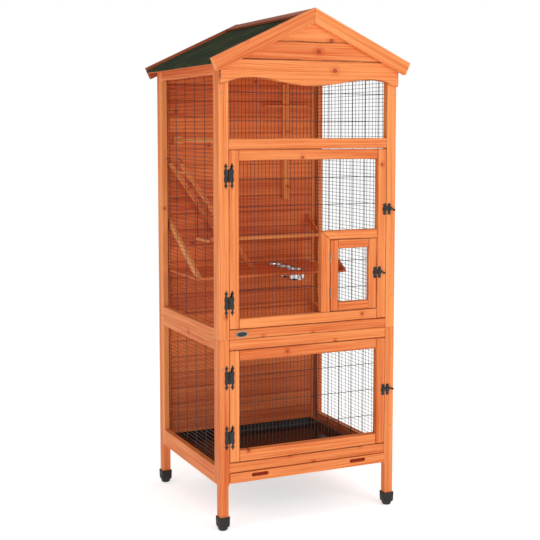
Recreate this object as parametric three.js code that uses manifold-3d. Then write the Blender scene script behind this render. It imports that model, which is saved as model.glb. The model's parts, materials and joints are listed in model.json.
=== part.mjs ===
// A tall garden aviary: two mesh sections on four legs, under a gable roof.
// Millimetres, +Z up, the front faces -Y, and the origin is on the ground under the middle.
import * as THREE from 'three';
import Module from 'manifold-3d';
import { mergeVertices } from 'three/addons/utils/BufferGeometryUtils.js';

const wasm = await Module();
wasm.setup();

// Overall sizes
const WIDTH = 650;
const DEPTH = 590;
const HEIGHT = 1700;
const GAP = 0.3;

// Timber
const POST_WIDTH = 34;
const POST_DEPTH = 28;
const LEG_WIDTH = 30.5;
const STILE_WIDTH = 20;
const SIDE_THICKNESS = 20;
const RAIL_THICKNESS = 22;
const DOOR_THICKNESS = 20;
const BOARD_PITCH = 59;
const BOARD_THICKNESS = 12;
const GROOVE = 2.5;

// Levels above the ground
const CAP_TOP = 50;
const BODY_BOTTOM = 150;
const LOWER_SIDE_RAIL_TOP = 207;
const LOWER_RAIL_BOTTOM = 191;
const LOWER_RAIL_TOP = 224;
const LOWER_DOOR_BOTTOM = 226;
const LOWER_DOOR_TOP = 595.5;
const SEAM = 632;
const UPPER_DOOR_BOTTOM = 666;
const UPPER_DOOR_TOP = 1244;
const TOP_RAIL_BOTTOM = 1246;
const TOP_RAIL_TOP = 1280;
const WINDOW_TOP = 1483;
const POST_TOP = 1520;

// Roof
const ROOF_HALF_SPAN = 360;
const ROOF_RISE = 170;
const OVERHANG = 14;
const BARGE_THICKNESS = 18;
const BARGE_WIDTH = 44;
const BARGE_STAND = 10;
const FELT = 2.2;
const PANEL_THICKNESS = 13.3;

// Wire mesh
const MESH_THICKNESS = 2;
const DOOR_MESH_THICKNESS = 1.5;
const CLOSE_PITCH = 13;
const WIDE_PITCH = 91;
const WIRE = 1.6;
const FILM = 0.4;
const MESH_UNDER_POST = 2.5;
const LOWER_SIDE_MESH = [188, 620];
const UPPER_SIDE_MESH = [646, 1502];
const WINDOW_MESH = [1264, 1477];
const DOOR_MESH_REACH = 271;
const UPPER_DOOR_MESH = [683, 1227];
const LOWER_DOOR_MESH = [247, 577];
const SMALL_MESH_INSET = 13;

// Doors and their hardware
const DOOR_GAP = 1.5;
const STILE = 34;
const HINGE_FORWARD = 3;
const BARREL_RADIUS = 2.6;
const LEAF_THICKNESS = 2;
const UPPER_HINGES = [752, 1161];
const LOWER_HINGES = [310, 508];
const SMALL_HINGES = [762, 884];
const SMALL_BARREL = 1.8;
const SMALL_LEAF = { thickness: 0.9, depth: 12, halfHeight: 15 };
const SMALL_OPENING = { left: 75, right: 255.5, bottom: 699, top: 943 };
const HEADER_WIDTH = 30;

const front = -DEPTH / 2;
const back = DEPTH / 2;
const half = WIDTH / 2;
const inner = half - POST_WIDTH;
const slope = ROOF_RISE / ROOF_HALF_SPAN;
const pitch = Math.atan(slope);
const wallFace = back - POST_DEPTH + GAP;
const doorHalf = inner - DOOR_GAP;
const feltTop = HEIGHT - BARGE_STAND;
const roofUnder = feltTop - (FELT + PANEL_THICKNESS);

const model = new THREE.Group();

const finish = {
  pine: [0xe8804a, 0.62, 0],
  pineShade: [0xc65a2a, 0.66, 0],
  rawPine: [0xf0a868, 0.6, 0],
  roofBoard: [0x8a4a34, 0.7, 0],
  felt: [0x37422c, 0.95, 0],
  steel: [0xc8cacb, 0.28, 1],
  iron: [0x14181a, 0.45, 0.6],
  wire: [0x3c4146, 0.45, 0.8],
  rubber: [0x2b2b29, 0.8, 0],
  trayPlastic: [0x1c1c1b, 0.38, 0],
};

function put(name, geometry, look) {
  const [color, roughness, metalness] = finish[look];
  const material = new THREE.MeshStandardMaterial({ color, roughness, metalness });
  const mesh = new THREE.Mesh(geometry, material);
  mesh.name = name;
  model.add(mesh);
}

// --- Shapes -------------------------------------------------------------------------------

// A square-edged block between two corners, whichever way round they are given.
function block(x, y, z) {
  const size = [x, y, z].map(([a, b]) => Math.abs(b - a));
  const middle = [x, y, z].map(([a, b]) => (a + b) / 2);
  return new THREE.BoxGeometry(...size).translate(...middle);
}

function outlineShape(points) {
  return new THREE.Shape(points.map(([u, v]) => new THREE.Vector2(u, v)));
}

function withHoles(shape, holes) {
  holes.forEach((hole) => shape.holes.push(outlineShape(hole)));
  return shape;
}

function extrude(shape, depth, curveSegments = 12) {
  return new THREE.ExtrudeGeometry(shape, { depth, bevelEnabled: false, curveSegments });
}

// Stands a flat piece up facing the front, its near face at yFront.
function standXZ(flat, yFront, thickness) {
  return flat.rotateX(Math.PI / 2).translate(0, yFront + thickness, 0);
}

// Stands a flat piece up facing the side, its thickness running towards +X from xStart.
function standYZ(flat, xStart) {
  const basis = new THREE.Matrix4().makeBasis(
    new THREE.Vector3(0, 1, 0),
    new THREE.Vector3(0, 0, 1),
    new THREE.Vector3(1, 0, 0),
  );
  return flat.applyMatrix4(basis).translate(xStart, 0, 0);
}

function uprightXZ(shape, yFront, thickness) {
  return standXZ(extrude(shape, thickness), yFront, thickness);
}

function uprightYZ(shape, xStart, thickness) {
  return standYZ(extrude(shape, thickness), xStart);
}

function rectangle(u0, u1, v0, v1) {
  return [[u0, v0], [u1, v0], [u1, v1], [u0, v1]];
}

function rod(radius, from, to, sides = 12) {
  const start = new THREE.Vector3(...from);
  const along = new THREE.Vector3(...to).sub(start);
  const geometry = new THREE.CylinderGeometry(radius, radius, along.length(), sides);
  const turn = new THREE.Quaternion();
  turn.setFromUnitVectors(new THREE.Vector3(0, 1, 0), along.clone().normalize());
  const middle = start.addScaledVector(along, 0.5);
  return geometry.applyQuaternion(turn).translate(middle.x, middle.y, middle.z);
}

// A profile of [radius, height] pairs turned about an upright axis at (x, y).
function turned(profile, x, y, segments) {
  const points = profile.map(([r, z]) => new THREE.Vector2(r, z));
  const geometry = new THREE.LatheGeometry(points, segments);
  geometry.rotateX(Math.PI / 2);
  return geometry.translate(x, y, 0);
}

// --- Joining and cutting ------------------------------------------------------------------

function solid(geometry) {
  const bare = geometry.clone();
  bare.deleteAttribute('normal');
  bare.deleteAttribute('uv');
  const merged = mergeVertices(bare, 1e-4);
  return new wasm.Manifold(new wasm.Mesh({
    numProp: 3,
    vertProperties: new Float32Array(merged.attributes.position.array),
    triVerts: new Uint32Array(merged.index.array),
  }));
}

function surface(manifold) {
  const mesh = manifold.getMesh();
  const geometry = new THREE.BufferGeometry();
  geometry.setAttribute('position', new THREE.BufferAttribute(mesh.vertProperties, 3));
  geometry.setIndex(new THREE.BufferAttribute(mesh.triVerts, 1));
  return geometry;
}

function join(...geometries) {
  return surface(geometries.map(solid).reduce((sum, next) => sum.add(next)));
}

function cut(geometry, ...tools) {
  return surface(tools.map(solid).reduce((rest, tool) => rest.subtract(tool), solid(geometry)));
}

// --- Carcass ------------------------------------------------------------------------------

const sides = [['left', -1], ['right', 1]];
const ends = [['front', -1], ['rear', 1]];

// A side frame: two stiles and two rails in one plane, with the posts at its ends.
function sidePanel(side, bottom, top, railTop, railBottom, postBottom) {
  const reach = back - POST_DEPTH;
  const frame = withHoles(outlineShape(rectangle(-reach - 1, reach + 1, bottom, top)), [
    rectangle(-reach + STILE_WIDTH, reach - STILE_WIDTH, railTop, railBottom),
  ]);
  const xStart = side < 0 ? -half : half - SIDE_THICKNESS;
  const parts = [uprightYZ(frame, xStart, SIDE_THICKNESS)];
  ends.forEach(([, end]) => {
    const y = [end * back, end * reach];
    parts.push(block([side * half, side * inner], y, [bottom, top]));
    if (postBottom < bottom) {
      parts.push(block([side * half, side * (half - LEG_WIDTH)], y, [postBottom, bottom + 1]));
    }
  });
  return parts;
}

function carcassSides() {
  const ledge = { in: 272, bottom: BODY_BOTTOM, top: 159.5, reach: 247 };
  sides.forEach(([name, side]) => {
    const upper = sidePanel(side, SEAM + GAP, POST_TOP, 665, WINDOW_TOP, SEAM + GAP);
    put(`upper_side_panel_${name}`, join(...upper), 'pine');
    const lower = sidePanel(side, BODY_BOTTOM, SEAM, LOWER_SIDE_RAIL_TOP, 597, 18.3);
    const runner = block(
      [side * (half - SIDE_THICKNESS + 1), side * ledge.in],
      [-ledge.reach, ledge.reach],
      [ledge.bottom, ledge.top],
    );
    put(`lower_side_panel_${name}`, join(...lower, runner), 'pine');
  });
}

// A rubber cap: a square socket round the leg, with a shallow round dome to stand on.
function footCap(side, end) {
  const wall = 4;
  const domeTop = 14;
  const floor = 18;
  const x = [side * (half + wall), side * (half - LEG_WIDTH - wall)];
  const y = [end * (back + wall), end * (back - POST_DEPTH - wall)];
  const socket = block(
    [side * (half + GAP), side * (half - LEG_WIDTH - GAP)],
    [end * (back + GAP), end * (back - POST_DEPTH - GAP)],
    [floor, CAP_TOP + 1],
  );
  const dome = [[0, 0], [8, 0], [13, 2], [16, 6], [17, domeTop + 1], [0, domeTop + 1]];
  const middle = [side * (half - LEG_WIDTH / 2), end * (back - POST_DEPTH / 2)];
  const shell = join(block(x, y, [domeTop, CAP_TOP]), turned(dome, ...middle, 20));
  return cut(shell, socket);
}

function footCaps() {
  sides.forEach(([name, side]) => {
    ends.forEach(([place, end]) => {
      put(`foot_cap_${place}_${name}`, footCap(side, end), 'rubber');
    });
  });
}

function frontRails() {
  const rails = [
    ['front_rail_under_window', TOP_RAIL_BOTTOM, TOP_RAIL_TOP],
    ['front_rail_upper_section', SEAM + GAP, UPPER_DOOR_BOTTOM - 2],
    ['front_rail_lower_section', LOWER_DOOR_TOP + 1.5, SEAM],
    ['front_rail_above_tray', LOWER_RAIL_BOTTOM, LOWER_RAIL_TOP],
  ];
  rails.forEach(([name, bottom, top]) => {
    const x = [-inner + GAP, inner - GAP];
    put(name, block(x, [front, front + RAIL_THICKNESS], [bottom, top]), 'pine');
  });
}

// The lower edge of the gable board: a trough in the middle, a crest on each side of it,
// and a quarter wave down to the corners.
function gableEdge(x) {
  const trough = 1449;
  const crest = 1472;
  const crestAt = 218;
  const away = Math.abs(x);
  if (away < crestAt) {
    return trough + (crest - trough) * (1 - Math.cos((Math.PI * away) / crestAt)) / 2;
  }
  const drop = 21;
  return crest - drop * (1 - Math.cos((Math.PI / 2) * (away - crestAt) / (half - crestAt)));
}

function roofLine(halfWidth, apex) {
  return [[halfWidth, apex - slope * halfWidth], [0, apex], [-halfWidth, apex - slope * halfWidth]];
}

// A V groove along X in the face at y, pointing into the board.
function groove(y, z, into) {
  const shape = outlineShape([
    [y - into, z - GROOVE - 0.5],
    [y + into * GROOVE, z],
    [y - into, z + GROOVE + 0.5],
  ]);
  return uprightYZ(shape, -half - 1, WIDTH + 2);
}

function grooveLevels(bottom, top) {
  const first = WINDOW_TOP + 49 - BOARD_PITCH * Math.floor((WINDOW_TOP + 49 - bottom) / BOARD_PITCH);
  const levels = [];
  for (let z = first; z < top; z += BOARD_PITCH) {
    if (z - bottom > GROOVE * 2) levels.push(z);
  }
  return levels;
}

function gableBoard() {
  const thickness = OVERHANG - GAP;
  const steps = 40;
  const lower = Array.from({ length: steps + 1 }, (_, i) => {
    const x = -half + (WIDTH * i) / steps;
    return [x, gableEdge(x)];
  });
  const outline = outlineShape([...lower, ...roofLine(half, roofUnder - GAP)]);
  const board = uprightXZ(outline, front - thickness - GAP, thickness);
  const grooves = grooveLevels(1480, 1660).map((z) => groove(front - thickness - GAP, z, 1));
  put('gable_board', cut(board, ...grooves), 'pine');
}

function backWall() {
  const x = inner - GAP;
  const outer = wallFace + BOARD_THICKNESS;
  const lower = block([-x, x], [wallFace, outer], [BODY_BOTTOM, SEAM]);
  const upper = uprightXZ(
    outlineShape([[-x, SEAM + GAP], [x, SEAM + GAP], ...roofLine(x, roofUnder - GAP)]),
    wallFace,
    BOARD_THICKNESS,
  );
  [['back_wall_lower', lower, BODY_BOTTOM, SEAM], ['back_wall_upper', upper, SEAM, 1640]].forEach(
    ([name, wall, bottom, top]) => {
      const grooves = grooveLevels(bottom + 4, top - 4).map((z) => groove(wallFace, z, 1));
      put(name, cut(wall, ...grooves), 'pineShade');
    },
  );
}

// --- Wire mesh ----------------------------------------------------------------------------

// Wire centre lines between two borders, as near to the given step as fits evenly.
function wireLines(start, end, step) {
  const count = Math.max(1, Math.round((end - start) / step));
  return Array.from({ length: count + 1 }, (_, i) => start + ((end - start) * i) / count);
}

// The section of a film with a rib standing on it at each line. The film runs from base to
// film in height, and the ribs go on to top.
function ribSection(lines, base, film, top) {
  const reach = WIRE / 2;
  const ribs = lines.toReversed().flatMap((at) => [
    [at + reach, film], [at + reach, top], [at - reach, top], [at - reach, film],
  ]);
  const ends = [[lines[0] - reach, base], [lines.at(-1) + reach, base]];
  return outlineShape([...ends, ...ribs.slice(1, -1)]);
}

// Welded mesh as a thin film with a rib for each wire: those centred on the lines us stand on
// its upper face and those on the lines vs on its lower one.
function meshPanel(us, vs, thickness) {
  const [low, high] = [(thickness - FILM) / 2, (thickness + FILM) / 2];
  const lengthOf = (lines) => lines.at(-1) - lines[0] + WIRE;
  const upper = extrude(ribSection(us, low, high, thickness), lengthOf(vs));
  upper.rotateX(Math.PI / 2).translate(0, vs.at(-1) + WIRE / 2, 0);
  const lower = standYZ(extrude(ribSection(vs, high, low, 0), lengthOf(us)), us[0] - WIRE / 2);
  return join(upper, lower);
}

function sideMeshes() {
  const reach = back - POST_DEPTH - MESH_UNDER_POST;
  const levels = [['lower', LOWER_SIDE_MESH], ['upper', UPPER_SIDE_MESH]];
  sides.forEach(([name, side]) => {
    const face = half - SIDE_THICKNESS - GAP;
    const xStart = side < 0 ? -face : face - MESH_THICKNESS;
    levels.forEach(([section, z]) => {
      const mesh = meshPanel(wireLines(-reach, reach, WIDE_PITCH), wireLines(...z, CLOSE_PITCH), MESH_THICKNESS);
      put(`${section}_mesh_${name}`, standYZ(mesh, xStart), 'wire');
    });
  });
}

function windowMesh() {
  const x = inner - 2;
  const mesh = meshPanel(wireLines(-x, x, CLOSE_PITCH), wireLines(...WINDOW_MESH, WIDE_PITCH), MESH_THICKNESS);
  put('window_mesh', standXZ(mesh, front + RAIL_THICKNESS + GAP, MESH_THICKNESS), 'wire');
}

// --- Roof ---------------------------------------------------------------------------------

// One slope's cross-section, between two lines parallel to the roof, cut upright at the ridge
// and square to the slope at the eaves.
function slopeSection(side, top, depth, reach) {
  const drop = depth * Math.sin(pitch);
  const thickness = depth / Math.cos(pitch);
  const edge = reach - drop;
  return outlineShape([
    [side * GAP, top],
    [side * reach, top - slope * reach],
    [side * edge, top - slope * edge - thickness],
    [side * GAP, top - thickness],
  ]);
}

function roof() {
  const roofFront = front - OVERHANG;
  const length = DEPTH + OVERHANG * 2;
  const panelDepth = PANEL_THICKNESS * Math.cos(pitch);
  sides.forEach(([name, side]) => {
    const panel = slopeSection(side, feltTop - FELT, panelDepth, ROOF_HALF_SPAN - 3);
    put(`roof_panel_${name}`, uprightXZ(panel, roofFront, length), 'felt');
    const barge = slopeSection(side, HEIGHT, BARGE_WIDTH, ROOF_HALF_SPAN);
    put(`barge_board_front_${name}`, uprightXZ(barge, roofFront - BARGE_THICKNESS - GAP, BARGE_THICKNESS), 'pine');
    put(`barge_board_rear_${name}`, uprightXZ(barge, roofFront + length + GAP, BARGE_THICKNESS), 'roofBoard');
  });
  const capReach = 46;
  const cap = outlineShape([
    [capReach, feltTop + GAP - slope * capReach],
    [capReach, feltTop + BARGE_STAND - slope * capReach - 1],
    [0, HEIGHT - 1],
    [-capReach, feltTop + BARGE_STAND - slope * capReach - 1],
    [-capReach, feltTop + GAP - slope * capReach],
    [0, feltTop + GAP],
  ]);
  put('ridge_cap', uprightXZ(cap, roofFront, length), 'roofBoard');
}

// --- Doors --------------------------------------------------------------------------------

// Half of an ornamental surface hinge. Its inner edge stands at u = gap, its outer edge bulges,
// and a round bite above and below the knuckle leaves two pointed finials.
function leafShape(inward, heightHalf) {
  const s = heightHalf / 39;
  const shape = new THREE.Shape();
  shape.moveTo(inward, -17 * s);
  shape.quadraticCurveTo(8.2, -20 * s, 6.6, -30.5 * s);
  shape.lineTo(10.6, -39 * s);
  shape.lineTo(14.6, -30.5 * s);
  shape.quadraticCurveTo(13.2, -27 * s, 16.2, -25 * s);
  shape.quadraticCurveTo(17.6, -20 * s, 16.2, 0);
  shape.quadraticCurveTo(17.6, 20 * s, 16.2, 25 * s);
  shape.quadraticCurveTo(13.2, 27 * s, 14.6, 30.5 * s);
  shape.lineTo(10.6, 39 * s);
  shape.lineTo(6.6, 30.5 * s);
  shape.quadraticCurveTo(8.2, 20 * s, inward, 17 * s);
  return shape;
}

const LEAF_FRONT = front - GAP - LEAF_THICKNESS;

// A leaf laid on the front face beside an upright hinge line at x. side is +1 to the right.
function hingeLeaf(x, z, side, inward) {
  const geometry = extrude(leafShape(inward, 38), LEAF_THICKNESS, 3);
  geometry.rotateX(Math.PI / 2);
  geometry.translate(0, LEAF_THICKNESS, 0);
  if (side < 0) geometry.rotateZ(Math.PI).translate(0, LEAF_THICKNESS, 0);
  return geometry.translate(x, LEAF_FRONT, z);
}

function ornamentalHinges(door, levels) {
  const x = -inner + DOOR_GAP / 2;
  levels.forEach((z, i) => {
    const place = i === 0 ? 'bottom' : 'top';
    const barrel = rod(BARREL_RADIUS, [x, front - HINGE_FORWARD, z - 16], [x, front - HINGE_FORWARD, z + 16]);
    put(`${door}_hinge_${place}`, join(hingeLeaf(x, z, 1, 0.5), barrel), 'iron');
    put(`post_leaf_${door}_${place}`, hingeLeaf(x, z, -1, BARREL_RADIUS + GAP), 'iron');
  });
}

// A turning catch: a short tongue to the left, a drooping handle to the right.
function latchLever(name, x, z, lift) {
  const thick = 3;
  const y = front - 2.6 - thick;
  const outline = outlineShape([
    [-8, -2.4], [4, -3.2], [14, -8.6], [18.5, -9.6], [20, -6.6], [16, -4.4], [6, 2.6], [-8, 2.4],
  ]);
  const arm = uprightXZ(outline, y, thick);
  const boss = rod(4.4, [0, y - 0.6, 0], [0, front - GAP, 0], 16);
  const knob = rod(2.8, [17, y - 2, -7.2], [17, y + thick - 0.4, -7.2], 10);
  const lever = join(arm, boss, knob);
  put(name, lever.rotateY(THREE.MathUtils.degToRad(-lift)).translate(x, 0, z), 'iron');
}

function frameWithWindow(outer, stile, bottomRail, topRail, thickness) {
  const [x0, x1, z0, z1] = outer;
  const shape = withHoles(outlineShape(rectangle(x0, x1, z0, z1)), [
    rectangle(x0 + stile, x1 - stile, z0 + bottomRail, z1 - topRail),
  ]);
  return uprightXZ(shape, front, thickness);
}

function doorMesh(x, z, behind) {
  const panel = meshPanel(wireLines(...x, CLOSE_PITCH), wireLines(...z, WIDE_PITCH), DOOR_MESH_THICKNESS);
  return standXZ(panel, behind + GAP, DOOR_MESH_THICKNESS);
}

function upperDoor() {
  const o = SMALL_OPENING;
  const left = -doorHalf + STILE;
  const right = doorHalf - STILE;
  const header = o.top + HEADER_WIDTH;
  const y = [front, front + DOOR_THICKNESS];
  const through = [y[0] - 1, y[1] + 1];
  const slab = block([-doorHalf, doorHalf], y, [UPPER_DOOR_BOTTOM, UPPER_DOOR_TOP]);
  const frame = cut(
    slab,
    block([left, right], through, [header, UPPER_DOOR_TOP - STILE]),
    block([left, o.left - STILE], through, [o.bottom, header + 1]),
    block([o.left, o.right], through, [o.bottom, o.top]),
  );
  put('upper_door_frame', frame, 'pine');
  const whole = doorMesh([-DOOR_MESH_REACH, DOOR_MESH_REACH], UPPER_DOOR_MESH, y[1]);
  const bayX = [o.left - STILE / 2, doorHalf];
  const bayZ = [UPPER_DOOR_BOTTOM, o.top + HEADER_WIDTH / 2];
  const bay = block(bayX, [y[1], y[1] + DOOR_THICKNESS], bayZ);
  put('upper_door_mesh', cut(whole, bay), 'wire');
  ornamentalHinges('upper_door', UPPER_HINGES);
  latchLever('latch_lever_upper_door', inner + 9.5, 1044, 0);
}

function smallDoor() {
  const o = SMALL_OPENING;
  const thickness = 17;
  const outer = [o.left + 1.5, o.right - 2, o.bottom + 2, o.top - 1.5];
  put('small_door_frame', frameWithWindow(outer, 30, 30, 30, thickness), 'pine');
  const inset = SMALL_MESH_INSET;
  const x01 = [outer[0] + inset, outer[1] - inset];
  const z01 = [outer[2] + inset, outer[3] - inset];
  put('small_door_mesh', doorMesh(x01, z01, front + thickness), 'wire');
  const x = o.left + 0.75;
  const leaf = SMALL_LEAF;
  const pin = front - HINGE_FORWARD;
  SMALL_HINGES.forEach((z, i) => {
    const [low, high] = [z - leaf.halfHeight, z + leaf.halfHeight];
    const plate = block([x - leaf.thickness / 2, x + leaf.thickness / 2], [pin, front + leaf.depth], [low, high]);
    const barrel = rod(SMALL_BARREL, [x, pin, low], [x, pin, high]);
    put(`small_door_hinge_${i === 0 ? 'bottom' : 'top'}`, join(plate, barrel), 'steel');
  });
  latchLever('latch_lever_small_door', o.right + 9, 829, 0);
}

function lowerDoor() {
  const outer = [-doorHalf, doorHalf, LOWER_DOOR_BOTTOM, LOWER_DOOR_TOP];
  put('lower_door_frame', frameWithWindow(outer, STILE, 38, 35, DOOR_THICKNESS), 'pine');
  const mesh = doorMesh([-DOOR_MESH_REACH, DOOR_MESH_REACH], LOWER_DOOR_MESH, front + DOOR_THICKNESS);
  put('lower_door_mesh', mesh, 'wire');
  ornamentalHinges('lower_door', LOWER_HINGES);
  latchLever('latch_lever_lower_door', inner + 9.5, 419, 24);
}

// --- Tray ---------------------------------------------------------------------------------

// A block whose top is wider than its bottom by spread on every side.
function flared(x, y, z, spread) {
  const geometry = block(x, y, z);
  const position = geometry.attributes.position;
  const middle = [(x[0] + x[1]) / 2, (y[0] + y[1]) / 2];
  for (let i = 0; i < position.count; i += 1) {
    if (position.getZ(i) > (z[0] + z[1]) / 2) {
      position.setX(i, position.getX(i) + Math.sign(position.getX(i) - middle[0]) * spread);
      position.setY(i, position.getY(i) + Math.sign(position.getY(i) - middle[1]) * spread);
    }
  }
  return geometry;
}

function tray() {
  const frontFace = front - 4;
  const frontDepth = 16;
  const z = [157.5, 189.5];
  const slotLevel = 177.5;
  const slotRadius = 6.5;
  const slotHalf = 31;
  const face = block([-doorHalf, doorHalf], [frontFace, frontFace + frontDepth], z);
  const slots = [-1, 1].map((side) => {
    const shape = new THREE.Shape();
    shape.absarc(side * 183 - slotHalf + slotRadius, slotLevel, slotRadius, Math.PI / 2, Math.PI * 1.5);
    shape.absarc(side * 183 + slotHalf - slotRadius, slotLevel, slotRadius, -Math.PI / 2, Math.PI / 2);
    return uprightXZ(shape, frontFace - 1, 11);
  });
  put('tray_front', cut(face, ...slots), 'pine');
  const y = [frontFace + frontDepth + GAP, 262];
  const wall = 2.5;
  const shell = block([-284, 284], y, [160, 187]);
  const hollow = flared([-256, 256], [y[0] + 26 + wall, y[1] - 26 - wall], [162.5, 188], 25);
  put('tray', cut(shell, hollow), 'trayPlastic');
}

// --- Fittings inside ----------------------------------------------------------------------

const SHELF_TOP = 803;
const SHELF_THICKNESS = 8;
const SHELF_FRONT = -40;
const SHELF_X = [-300, 275];
const STRUT_RISE = 0.6;
const STRUT_WIDTH = 12;
const STRUT_X = { left: -296, right: 263 };
const LADDER_TOP = [-295.5, 1187];
const LADDER_FOOT = [-28, 807.6];
const LADDER_RAILS = [125, 243];
const LADDER_RAIL = { halfWidth: 7, halfThickness: 5 };
const RUNGS = 6;
const RUNG_RADIUS = 5;
const CUP_X = 117;
const CUP_SPACING = 82;
const CUP_MIDDLE = 137;

function shelf() {
  const board = block(SHELF_X, [SHELF_FRONT, wallFace - GAP], [SHELF_TOP - SHELF_THICKNESS, SHELF_TOP]);
  const holes = cupPlaces().map(([, y]) => (
    rod(35.5, [CUP_X, y, SHELF_TOP - SHELF_THICKNESS - 1], [CUP_X, y, SHELF_TOP + 1], 24)
  ));
  put('shelf', cut(board, ...holes), 'pineShade');
  const foot = SHELF_TOP + GAP;
  const wall = wallFace - GAP;
  const climb = (y) => foot + STRUT_RISE * (wall - y);
  const [toe, heel] = [SHELF_FRONT, SHELF_FRONT + 44];
  const strut = outlineShape([[toe, foot], [heel, foot], [wall, climb(heel)], [wall, climb(toe)]]);
  Object.entries(STRUT_X).forEach(([name, x]) => {
    put(`shelf_strut_${name}`, uprightYZ(strut, x, STRUT_WIDTH), 'pine');
  });
}

function cupPlaces() {
  return [['front', -1], ['middle', 0], ['rear', 1]].map(([name, step]) => (
    [name, CUP_MIDDLE + step * CUP_SPACING]
  ));
}

function cups() {
  const rim = SHELF_TOP + GAP;
  const profile = [
    [0, rim - 40], [24, rim - 40], [30, rim - 34], [34.2, rim], [39, rim], [39.4, rim + 1.2],
    [34, rim + 1.6], [32.6, rim], [28.6, rim - 33], [23.4, rim - 38.4], [0, rim - 38.4],
  ];
  cupPlaces().forEach(([name, y]) => {
    put(`cup_${name}`, turned(profile, CUP_X, y, 24), 'steel');
  });
}

function ladder() {
  const [top, foot] = [LADDER_TOP, LADDER_FOOT];
  const { halfWidth, halfThickness } = LADDER_RAIL;
  const run = Math.hypot(top[0] - foot[0], top[1] - foot[1]);
  const lean = Math.atan2(top[1] - foot[1], foot[0] - top[0]);
  const rails = LADDER_RAILS.map((y) => (
    block([0, run], [y - halfThickness, y + halfThickness], [-halfWidth, halfWidth])
  ));
  const rungs = Array.from({ length: RUNGS }, (_, i) => {
    const at = (run * (i + 0.5)) / RUNGS;
    return rod(RUNG_RADIUS, [at, LADDER_RAILS[0] - 3, 0], [at, LADDER_RAILS[1] + 3, 0], 8);
  });
  const geometry = join(...rails, ...rungs).rotateY(lean).translate(top[0], 0, top[1]);
  put('ladder', geometry, 'rawPine');
}

function perches() {
  const frontEnd = front + RAIL_THICKNESS + MESH_THICKNESS + GAP * 2;
  const wall = wallFace - GAP;
  const crosswise = rod(6, [-302, -175, 948], [302, -175, 948]);
  put('perch_side_to_side', crosswise, 'rawPine');
  const lengthwise = rod(6, [-260, frontEnd, 1271], [-260, wall - 1, 1271]);
  const wallBlock = block([-276, -246], [wall - 26, wall], [1255, 1287]);
  put('perch_front_to_back', join(lengthwise, wallBlock), 'rawPine');
  const batten = block([162, 186], [wall - 12, wall], [1045, 1480]);
  const crossbar = rod(5, [80, wall - 13, 1397], [264, wall - 13, 1397]);
  const pegs = [1094, 1300].map((z) => rod(4.5, [178, wall - 70, z], [178, wall - 5, z], 10));
  put('perch_tree', join(batten, crossbar, ...pegs), 'rawPine');
}

function swing() {
  const x = -294;
  const y = [-118, -25];
  const top = 1062;
  const barLevel = 938;
  const barRadius = 6;
  const wire = 1.6;
  const legs = y.map((at) => rod(wire, [x, at, barLevel + barRadius + GAP], [x, at, top], 8));
  const crosspiece = block([x - wire, x + wire], [y[0] - wire, y[1] + wire], [top - wire, top + wire]);
  put('swing_bail', join(...legs, crosspiece), 'iron');
  put('swing_bar', rod(barRadius, [x, y[0] - 8, barLevel], [x, y[1] + 8, barLevel]), 'rawPine');
}

carcassSides();
footCaps();
frontRails();
gableBoard();
backWall();
sideMeshes();
windowMesh();
roof();
upperDoor();
smallDoor();
lowerDoor();
tray();
shelf();
cups();
ladder();
perches();
swing();

export default model;
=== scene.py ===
# %% [markdown]
# # A garden aviary in stained pine
# The real thing is a tall cage of pine frames with welded wire mesh behind them: a small lower
# room on four legs, a tall upper room, three doors, a pull-out tray and a felted gable roof.
# Most timber parts are then built again, board by board, because each board has its own grain
# and its own softened edges.

# %% The frame
import json
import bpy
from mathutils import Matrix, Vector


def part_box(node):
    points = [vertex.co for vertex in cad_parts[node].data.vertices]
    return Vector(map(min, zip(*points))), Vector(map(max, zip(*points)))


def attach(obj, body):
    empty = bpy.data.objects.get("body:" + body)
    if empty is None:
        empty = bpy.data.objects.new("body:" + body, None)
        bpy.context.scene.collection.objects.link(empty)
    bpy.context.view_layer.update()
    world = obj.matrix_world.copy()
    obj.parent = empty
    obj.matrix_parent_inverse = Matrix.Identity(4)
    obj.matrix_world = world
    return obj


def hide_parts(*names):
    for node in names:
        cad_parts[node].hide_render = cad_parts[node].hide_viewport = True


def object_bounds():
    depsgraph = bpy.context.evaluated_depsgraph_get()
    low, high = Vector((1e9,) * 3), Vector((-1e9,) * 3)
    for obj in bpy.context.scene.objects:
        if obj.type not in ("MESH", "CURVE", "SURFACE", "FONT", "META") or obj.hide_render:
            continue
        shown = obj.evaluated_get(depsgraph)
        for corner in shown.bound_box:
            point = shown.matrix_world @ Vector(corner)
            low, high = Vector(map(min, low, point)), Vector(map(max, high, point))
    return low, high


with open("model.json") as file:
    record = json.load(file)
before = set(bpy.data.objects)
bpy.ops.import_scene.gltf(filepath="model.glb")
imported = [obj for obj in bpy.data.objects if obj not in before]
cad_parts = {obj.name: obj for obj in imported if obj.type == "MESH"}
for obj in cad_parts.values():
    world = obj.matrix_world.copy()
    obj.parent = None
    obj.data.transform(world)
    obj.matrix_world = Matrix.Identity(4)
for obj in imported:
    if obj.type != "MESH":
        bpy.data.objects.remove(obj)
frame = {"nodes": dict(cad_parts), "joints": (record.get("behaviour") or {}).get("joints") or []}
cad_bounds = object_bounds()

import zlib

import bmesh
import bpy
import numpy as np
from mathutils import Vector

MM = 0.001
print("packed parts:", len(frame["nodes"]), "overall:", [round(v, 3) for v in cad_bounds[1]])

# %% [markdown]
# ## Camera, light and floor
# A product picture of tall furniture is taken from far away with a long lens, a little above the
# middle, so that upright edges stay nearly upright. The light is one large soft panel at the
# front, weaker ones at the left and above, and a white room that fills the shadows. The room
# looks brighter than the light it sheds, as a white backdrop with lamps of its own does.

# %% Camera
LENS = 74.83
LENS_SHIFT = -0.0648
CAMERA_PLACE = Vector((-1.6648, -3.5952, 1.3087))
CAMERA_LOOKS = Vector((0.4162, 0.9045, -0.0936))

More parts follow.
